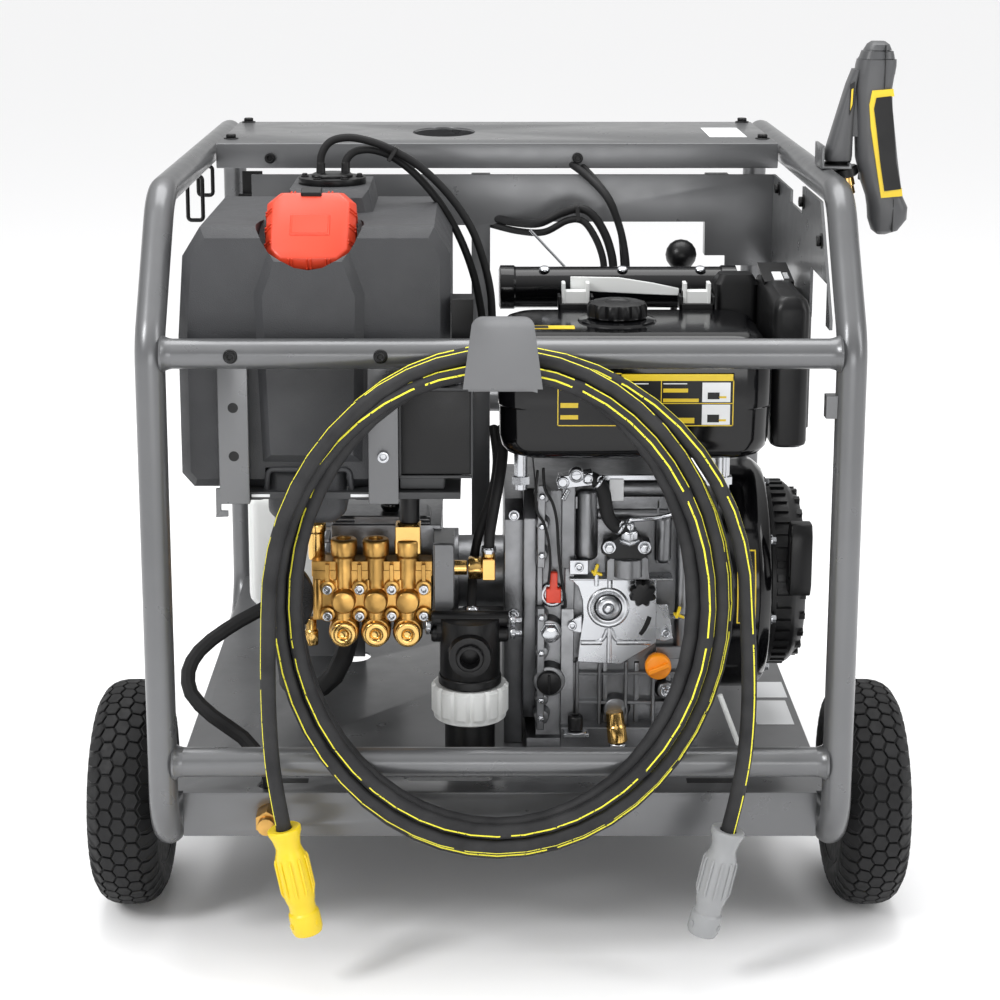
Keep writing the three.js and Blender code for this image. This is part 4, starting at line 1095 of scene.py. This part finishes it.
def add_engine_front():
    """The castings, bolts, pipes and small plates on the front of the engine, its knob and its plug."""
    kit = Kit("engine")
    face = 140
    ribs = kit.part("block_ribs", "cast")
    for x in (84, 108, 136.5, 166):
        box(ribs, (x - 1.8, 128, 212), (x + 1.8, face + 1, 284))
    for x in (168, 180, 192):
        box(ribs, (x - 1.4, 131, 392), (x + 1.4, face + 1, 462))
    for z in (236, 269):
        box(ribs, (84, 130, z - 1.6), (198, face + 1, z + 1.6))
    edges = ((206, 343, 66, 48.5, 122), (343, 388, 69.8, 46.4, 132.8), (388, 478, 66, 48.5, 122))
    for low, high, inner, outer, front in edges:
        box(ribs, (inner, 126, low), (80, face + 1, high))
        box(ribs, (40.5, front, low + 2), (outer, 137, high + 2))
    box(ribs, (80, 131, 452), (206, face + 1, 466))
    box(ribs, (168, 129, 286), (206, face + 1, 300))
    for x, z, r in ((126, 228, 15), (180, 250, 11)):
        boss = [(r + 2.5, 0), (r, 3), (r - 1.5, 12), (r - 4, 13), (0, 13)]
        turned(ribs, (x, face + 1, z), FRONT, boss, 24)
    bosses = ((468, 8), (436, 7), (404, 6), (334, 6), (318.7, 13), (295, 7), (262.6, 17), (242, 7),
              (222, 8))
    for z, r in bosses:
        boss = [(r + 1.5, 0), (r, 12), (r, 16), (r - 1, 17)]
        turned(ribs, (46 if r < 10 else 54, face, z), FRONT, boss, 20)
    for x, low, rise, r in ((93, 400, 70, 12), (174, 396, 44, 9), (196, 300, 170, 8)):
        turned(ribs, (x, 137, low), UP, [(r - 3, -4), (r, 0), (r, rise), (r - 3, rise + 4)], 24)
    for z, r in ((474, 9), (446, 7)):
        rod(ribs, (104, 138, z), (205, 138, z), r, 20)
    box(kit.part("base_bar", "cast"), (66, 116, 190), (206, 141, 213))
    fins = kit.part("head_fins", "cast")
    for k in range(12):
        box(fins, (55, 338, 286 + k * 17), (205, 425, 289 + k * 17))
    rocker = [(300, 6, 5), (304, 0, 5), (470, 0, 5), (476, 6, 5)]
    loft_box(kit.part("rocker_cover", "black"), (70, 190), (418, 430), rocker)
    pipe = kit.part("exhaust_pipe", "dark_paint")
    cable(pipe, [(96, 380, 496), (96, 382, 545), (98, 372, 598), (100, 346, 636)], 15, 20)
    turned(pipe, (96, 380, 499), UP, [(24, 0), (24, 7)], 28)
    pipe = kit.part("intake_pipe", "black")
    intake = [(160, 370, 494), (170, 368, 560), (212, 356, 606), (250, 318, 626), (258, 292, 630)]
    cable(pipe, intake, 17, 20)
    bolts = kit.part("bolts", "zinc")
    for z in (468.5, 435.8, 404, 335, 295.4, 242, 222):
        turned(bolts, (45, 122.4, z), FRONT, [(3.8, 0), (3.8, 4), (2.8, 5), (0, 5)], 6)
    large = [(11, 0), (11, 1.5), (9.8, 1.8), (9.8, 9), (8.6, 10.4), (0, 10.6)]
    turned(bolts, (54.5, 122.6, 318.7), FRONT, large, 6)
    for x, z in ((115.2, 418), (152, 418)):
        hex_bolt(bolts, (x, 104, z), FRONT, 5.2, 6)
    for x, z in ((77.8, 327), (177.4, 318.5), (84.5, 391.6)):
        socket_screw(bolts, (x, 120.5, z), FRONT, 4.8, 5)
    hex_bolt(bolts, (180, 127.4, 250), FRONT, 4.6, 6)
    for z in (440, 330):
        hex_bolt(bolts, (16, 149.4, z), FRONT, 4.4, 5)
    plug = kit.part("slotted_plug", "black")
    turned(plug, (53.5, 122, 262.6), FRONT, [(13.2, 0), (13.2, 5), (12.2, 6.5), (0, 6.5)], 32)
    box(plug, (52, 113.5, 252), (55, 118, 273))
    turned(plug, (81.8, 112, 213), UP, [(8, 0), (8, 14), (7, 16), (4, 16), (4, 12), (0, 12)], 24)
    washer = kit.part("washers", "pressed")
    turned(washer, (81.8, 112, 210.5), UP, [(13, 0), (13, 2)], 28)
    box(washer, (69, 104, 206.4), (96, 120, 210.6))
    turned(washer, (57, 138, 356), FRONT, [(14, 0), (14, 3), (12, 5), (9, 5), (9, 2), (0, 2)], 28)
    drain = kit.part("drain", "bright_brass")
    turned(drain, (128, 118, 196), (-0.12, 0.1, 1), [(8, 0), (11, 1), (11, 18), (9.5, 20), (9.5, 34)], 28)
    turned(kit.part("drain_hex", "zinc"), (127.4, 117, 188), UP, [(8.5, 0), (10, 1.4), (10, 8)], 6)
    pump = kit.part("injector_body", "cast")
    prism(pump, [(113, 381), (158, 381), (157, 404), (150, 408), (121, 408), (113, 402)], "y", 108, 139.6)
    turned(pump, (135.5, 116, 404), UP, [(17, -20), (17, 0)], 28)
    flange = kit.part("injector_flange", "black")
    prism(flange, [(107, 412), (110, 424), (120, 426), (127, 431), (145, 431), (150, 426), (158, 424),
                   (160, 412), (150, 405), (118, 405)], "y", 103.6, 121)
    nut, lean = kit.part("union_nut", "zinc"), (0, -0.25, 1)
    turned(nut, (136, 108, 424), lean, [(12, 0), (12, 4), (9.4, 5), (9.4, 12), (7.6, 14)], 6)
    turned(nut, (136, 107, 434), lean, [(5.4, 0), (5.4, 10), (3.4, 12)], 20)
    cable(nut, [(136, 104.6, 444), (137, 104, 447.5), (142, 103, 448.6), (152, 103, 449.2), (166, 106, 450),
                (184, 116, 452), (204, 132, 460), (212, 146, 478)], 2.6)
    line = kit.part("fuel_hose", "rubber")
    cable(line, [(92, 112, 492), (101, 108, 489), (108, 105, 479), (110.5, 103, 466), (113, 102, 453),
                 (119.5, 103, 443), (128, 105, 438.5), (133, 107, 436)], 7.2, 16)
    wires = kit.part("wires", "rubber")
    cable(wires, [(46, 120, 500), (47.7, 118, 478), (56, 117, 462), (60.5, 117, 442), (62.7, 117, 409),
                  (66, 118, 380), (69.6, 119, 358), (70.5, 122, 346)], 1.8, 8)
    cable(wires, [(40, 118, 498), (38, 117, 470), (40, 117, 452), (47, 117, 440), (52, 118, 420),
                  (54, 119, 396), (52, 120, 372)], 1.6, 8)
    clamps = kit.part("clamps", "zinc")
    for at in ((125.4, 104.4, 439.6), (102, 107.4, 488)):
        turned(clamps, at, (0.8, 0, -0.5), [(7.6, 0), (8.3, 0.3), (8.3, 3), (7.6, 3.3)], 20)
        ear = [Vector(at) + Vector(step) for step in ((0, -7, 2), (1, -9, 7), (4, -9, 9))]
        cable(clamps, ear, 1.2, 8)
    tap = kit.part("tap", "zinc")
    slab(tap, (79, 112, 490), (1, 0, 0.12), UP, (18, 7, 9))
    for x, z, r in ((66, 488, 7), (80, 496, 8), (92, 492, 6)):
        end = [(r, -6), (r, 1.4), (r * 0.7, 2.4), (r * 0.6, 0.6), (0, 0.6)]
        turned(tap, (x, 104, z), FRONT, end, 20)
    rod(tap, (72, 106, 480), (66, 102, 470), 3, 12)
    box(tap, (94, 128, 484), (205, 131, 490))
    box(kit.part("plain_plate", "label_white"), (116, 126.4, 462), (131, 127.6, 486))
    ties = kit.part("adjusters", "label_yellow")
    for x, z in ((103, 387), (190.5, 340)):
        slab(ties, (x, 114, z), (1, 0, -0.3), UP, (6, 1.6, 3))
        slab(ties, (x - 1, 112, z + 4), (0.3, 0, 1), (0, 1, 0), (6.5, 2, 1.6))
    for low, high in (((180, 114, 338.6), (204, 114, 338.6)), ((103, 116, 372), (103, 116, 396))):
        rod(kit.part("adjuster_screws", "zinc"), low, high, 2.6, 12)
    small = kit.part("small_plates", "pressed")
    box(small, (74.4, 120.2, 383), (94.5, 122.4, 399))
    for outline in ([(166.6, 350), (179, 350), (186, 312), (176, 309), (166.6, 311)],
                    [(88, 338), (88, 318), (78, 320), (73, 327), (79, 333)]):
        prism(small, outline, "y", 120.4, 122.6)
    plate = kit.part("governor_plate", "pressed")
    outline = [(74.4, 379), (84, 369), (88.5, 354), (89.5, 335.5), (86, 310), (83.8, 285.3),
               (129.6, 282.6), (168, 307), (167, 379)]
    prism(plate, outline, "y", 122, 125)
    box(plate, (74.4, 117, 377.4), (184, 139, 379.6))
    hub_x, hub_z = 116, 346
    hub = [(23, -0.4), (21.5, 1.8), (19.5, 2.4), (17.5, 1.4), (15, 0.2), (12.5, 0.2), (11, 4.6), (6, 5.2),
           (5.5, 2.5), (0, 2.5)]
    turned(plate, (hub_x, 122.2, hub_z), FRONT, hub, 40)
    rib_x, rib_y, rib_z = 117.5, 123, 307
    for z0, z1 in ((368, 377), (284, 324)):
        rod(plate, (rib_x, rib_y, z0), (rib_x, rib_y, z1), 3.2, 12)
    for x0, x1 in ((87, 110), (125, 162)):
        rod(plate, (x0, rib_y, rib_z), (x1, rib_y, rib_z), 3.2, 12)
    for way in (-1, 1):
        cable(plate, [(rib_x + way * dx, rib_y, z) for dx, z in ((2, 322), (7, 311), (16, rib_z))], 2.8)
    bolt = [(4.6, 0), (4.6, 3), (3.6, 3.6)]
    turned(kit.part("governor_bolt", "zinc"), (hub_x, 118, hub_z), FRONT, bolt, 6)
    slot = [(158, 337), (155.5, 330), (152, 322), (148.5, 317), (152, 314.5), (156.5, 320), (160.5, 328),
            (162.5, 335)]
    prism(kit.part("governor_slot", "label"), slot, "y", 121.7, 122.3)
    kit.finish({"governor_plate": ("governor_cover",), "injector_body": ("injection_pump",)}, 0.7)

    lever = Kit("speed_knob", "speed_lever")
    grip = [(10, 0, 0), (13.2, 0.6, 0.5), (14.6, 2, 1), (14.6, 10, 1), (12, 13.4, 0.6), (8, 14, 0),
            (0, 14, 0)]
    fluted(lever.part("fluted", "black"), (151, 114, 367), FRONT, grip, 8, 3.4)
    rod(lever.part("stem", "black"), (151, 113, 367), (151, 121.6, 367), 5, 16)
    lever.finish({"fluted": ("speed_lever",)}, 0)
    plug = Kit("oil_plug", "oil_plug")
    cap = [(12, 0), (12.6, 8), (14, 9), (14, 16), (12.6, 19), (0, 19.4)]
    turned(plug.part("cap", "orange"), (170, 133.6, 281), FRONT, cap, 36)
    slab(plug.part("cap", "orange"), (170, 112.6, 281), (1, 0, 0.4), (-0.4, 0, 1), (12, 2.2, 4))
    plug.finish({"cap": ("oil_filler_plug",)}, 0.6)


def add_starter_side():
    """Ribs and bolts of the pull starter, and a label on the round of the fan shroud."""
    kit = Kit("starter")
    y, z = CRANK
    slots = kit.part("cooling_ribs", "black")
    for out in spokes(44):
        slab(slots, Vector((305.5, y, z)) + out * 100.6, ACROSS, out, (9.5, 2.6, 3.2))
    for out in spokes(24):
        slab(slots, Vector((328, y, z)) + out * 72, out, ACROSS, (22, 3.4, 3.4))
    turned(slots, (318, y, z), ACROSS, [(101.5, -26), (103.6, -24), (103.6, -20), (101.5, -18)], 60)
    bolts = kit.part("bolts", "zinc")
    for out in spokes(8, shift=0.24):
        hex_bolt(bolts, Vector((292, y, z)) + out * 109.5, ACROSS, 4.6, 5)
    label = kit.part("shroud_label", "label")
    border = kit.part("shroud_label_border", "label_yellow")
    text = kit.part("shroud_label_lines", "label_white")

    def on_shroud(bm, x0, x1, low, high, lift):
        """A patch laid on the round side of the fan shroud between two heights."""
        radius = 128.2 + lift
        rings = []
        count = 8
        for k in range(count + 1):
            a = math.asin(low / radius) + (math.asin(high / radius) - math.asin(low / radius)) * k / count
            edge = [(radius, x0), (radius, x1), (radius - 0.6, x1), (radius - 0.6, x0)]
            rings.append([Vector((x, y - r * math.cos(a), z + r * math.sin(a))) for r, x in edge])
        skin(bm, rings)

    on_shroud(border, 253, 273, -20, 58, 0.15)
    on_shroud(label, 254.4, 271.6, -18.6, 56.6, 0.35)
    for k in range(7):
        on_shroud(text, 257, 268, -14 + k * 9, -12.6 + k * 9, 0.5)
    kit.finish(bevel=0)


def add_gun():
    """The spray gun's handle in rounded slices, its trims, and what it rests on."""
    kit = Kit("gun", "gun")
    near, mid = 194, 214
    body = kit.part("handle_body", "gun")

    def section(x0, x1, z, depth):
        """A rounded slice of the handle or barrel at one height."""
        cx, hx = (x0 + x1) / 2, (x1 - x0) / 2
        ring = []
        for k in range(24):
            a = 2 * math.pi * k / 24
            c, d = (math.copysign(abs(t) ** 0.62, t) for t in (math.cos(a), math.sin(a)))
            ring.append(Vector((cx + hx * c, mid + depth * d, z)))
        return ring

    for slices in (
            [(402, 412, 734, 9), (397, 424, 738, 15), (393, 433, 750, 19), (392, 433.5, 763, 20),
             (390, 428, 774, 19.6), (384, 425, 790, 18.6), (377.5, 421, 815, 18), (376, 417.6, 840, 18),
             (374.6, 414, 866, 18.4), (373, 412.4, 888, 19.6), (374, 414.6, 904, 20)],
            [(373.6, 414.8, 903, 20), (374.6, 416, 912, 20), (376, 416, 918.4, 19.6)],
            [(377.4, 411, 918, 18.4), (377.4, 411, 920, 18.4)],
            [(378, 414, 919.6, 19.6), (380.5, 412.4, 927, 18.6)],
            [(382, 409, 926.6, 17.6), (383, 408, 929, 17.2)],
            [(383, 410.4, 928.6, 18.4), (386, 408, 934, 15.6), (390, 404, 937, 9)],
            [(344.6, 372.4, 812.4, 15), (343.6, 373, 818, 16), (346, 373, 826, 16), (355, 373.4, 858, 15),
             (365, 375, 892, 15), (371, 378, 908, 14)]):
        skin(body, [section(*cut) for cut in slices])
    box(body, (371, 204, 838), (380, 224, 900))
    box(body, (381, 228, 864), (405, 249.4, 885))
    grip = kit.part("grip", "black")
    outline = [(393.5, 879.6), (409, 881.4), (411.5, 862), (416.8, 812), (423, 784), (405.5, 781.6),
               (400, 812), (395, 846), (391.4, 868)]
    prism(grip, outline, "y", near - 1.6, near + 6)
    trim = kit.part("grip_trim", "label_yellow")
    border = [(389, 887), (411, 888.6), (412.2, 881), (394.5, 879), (392.6, 868), (396, 846), (401, 812),
              (406, 784.5), (423.8, 785), (425, 776.4), (402.4, 774.4), (395.6, 812), (389, 848),
              (386.6, 872)]
    prism(trim, border, "y", near - 0.8, near + 5)
    seam = kit.part("seam", "label")
    box(seam, (401.4, near - 0.4, 889), (402.2, near + 3, 934))
    box(seam, (415.4, near + 0.2, 738), (416.2, near + 4, 773))
    inlay = kit.part("inlay", "label")
    prism(inlay, [(366.4, 893), (371.4, 896), (371, 872), (367, 861)], "y", 198, 203)
    rim = [(368, 888), (370, 889), (369.4, 872), (367.4, 866)]
    prism(kit.part("inlay_trim", "label_yellow"), rim, "y", 197.4, 203)
    nut = kit.part("lance_nut", "black")
    turned(nut, (358.6, mid, 812.8), (0.12, 0, -1), [(13, 0), (14, 1.5), (13.4, 4), (0, 4)], 28)
    kit.finish({"handle_body": ("gun_body",)}, 0)
    kit = Kit("gun_rest")
    box(kit.part("pad", "rubber"), (341.2, 192, 808.1), (366.8, 236, 808.5))
    down = (0.25, 0, -1)
    socket = [(13, 0), (14.5, 2), (14.5, 9), (12, 11)]
    turned(kit.part("lance_socket", "black"), (365, mid, 804.8), down, socket, 28)
    lance = [(8, 0), (8, 9), (6.4, 10), (6.4, 18), (5, 19)]
    turned(kit.part("lance_end", "bright_brass"), (368, mid, 794), down, lance, 24)
    kit.finish(bevel=0)


def add_cables():
    """The wires and tubes that run down from the top panel."""
    kit = Kit("cables")
    loom = kit.part("loom", "rubber")
    for points, radius in (
            ([(-8, 470, 716), (20, 440, 714), (48, 405, 718), (72, 398, 730), (94, 396, 736),
              (110, 394, 728), (124, 392, 706), (132, 390, 680), (134, 386, 656)], 5),
            ([(-8, 466, 708), (24, 438, 704), (54, 402, 708), (80, 396, 722), (98, 392, 722),
              (112, 388, 704), (121, 386, 680), (123, 382, 656)], 4),
            ([(84, 460, 782), (104, 425, 770), (126, 400, 748), (140, 396, 716), (147, 392, 684),
              (149, 388, 656)], 4.4),
            ([(96, 462, 782), (112, 430, 768), (132, 407, 742), (142, 406, 706), (146, 404, 660)], 3)):
        cable(loom, points, radius)
    rod(kit.part("thin_rod", "zinc"), (36, 352, 718), (76, 348, 676), 1.6, 10)
    tie = kit.part("ties", "black")
    slab(tie, (92, 395, 731), (1, 0, 0.1), (0, 1, 0), (2.2, 8, 8))
    kit.finish(bevel=0)


add_camera()
hose, hose_path = add_hose()
connectors = [add_connector(*row) for row in CONNECTORS]
add_studio()
for build in (add_frame, add_wheels, add_tank, add_pump, add_engine_top, add_engine_front, add_starter_side,
              add_gun, add_cables):
    build()
for node, (look, width) in KEPT.items():
    add_kept(node, look, width)
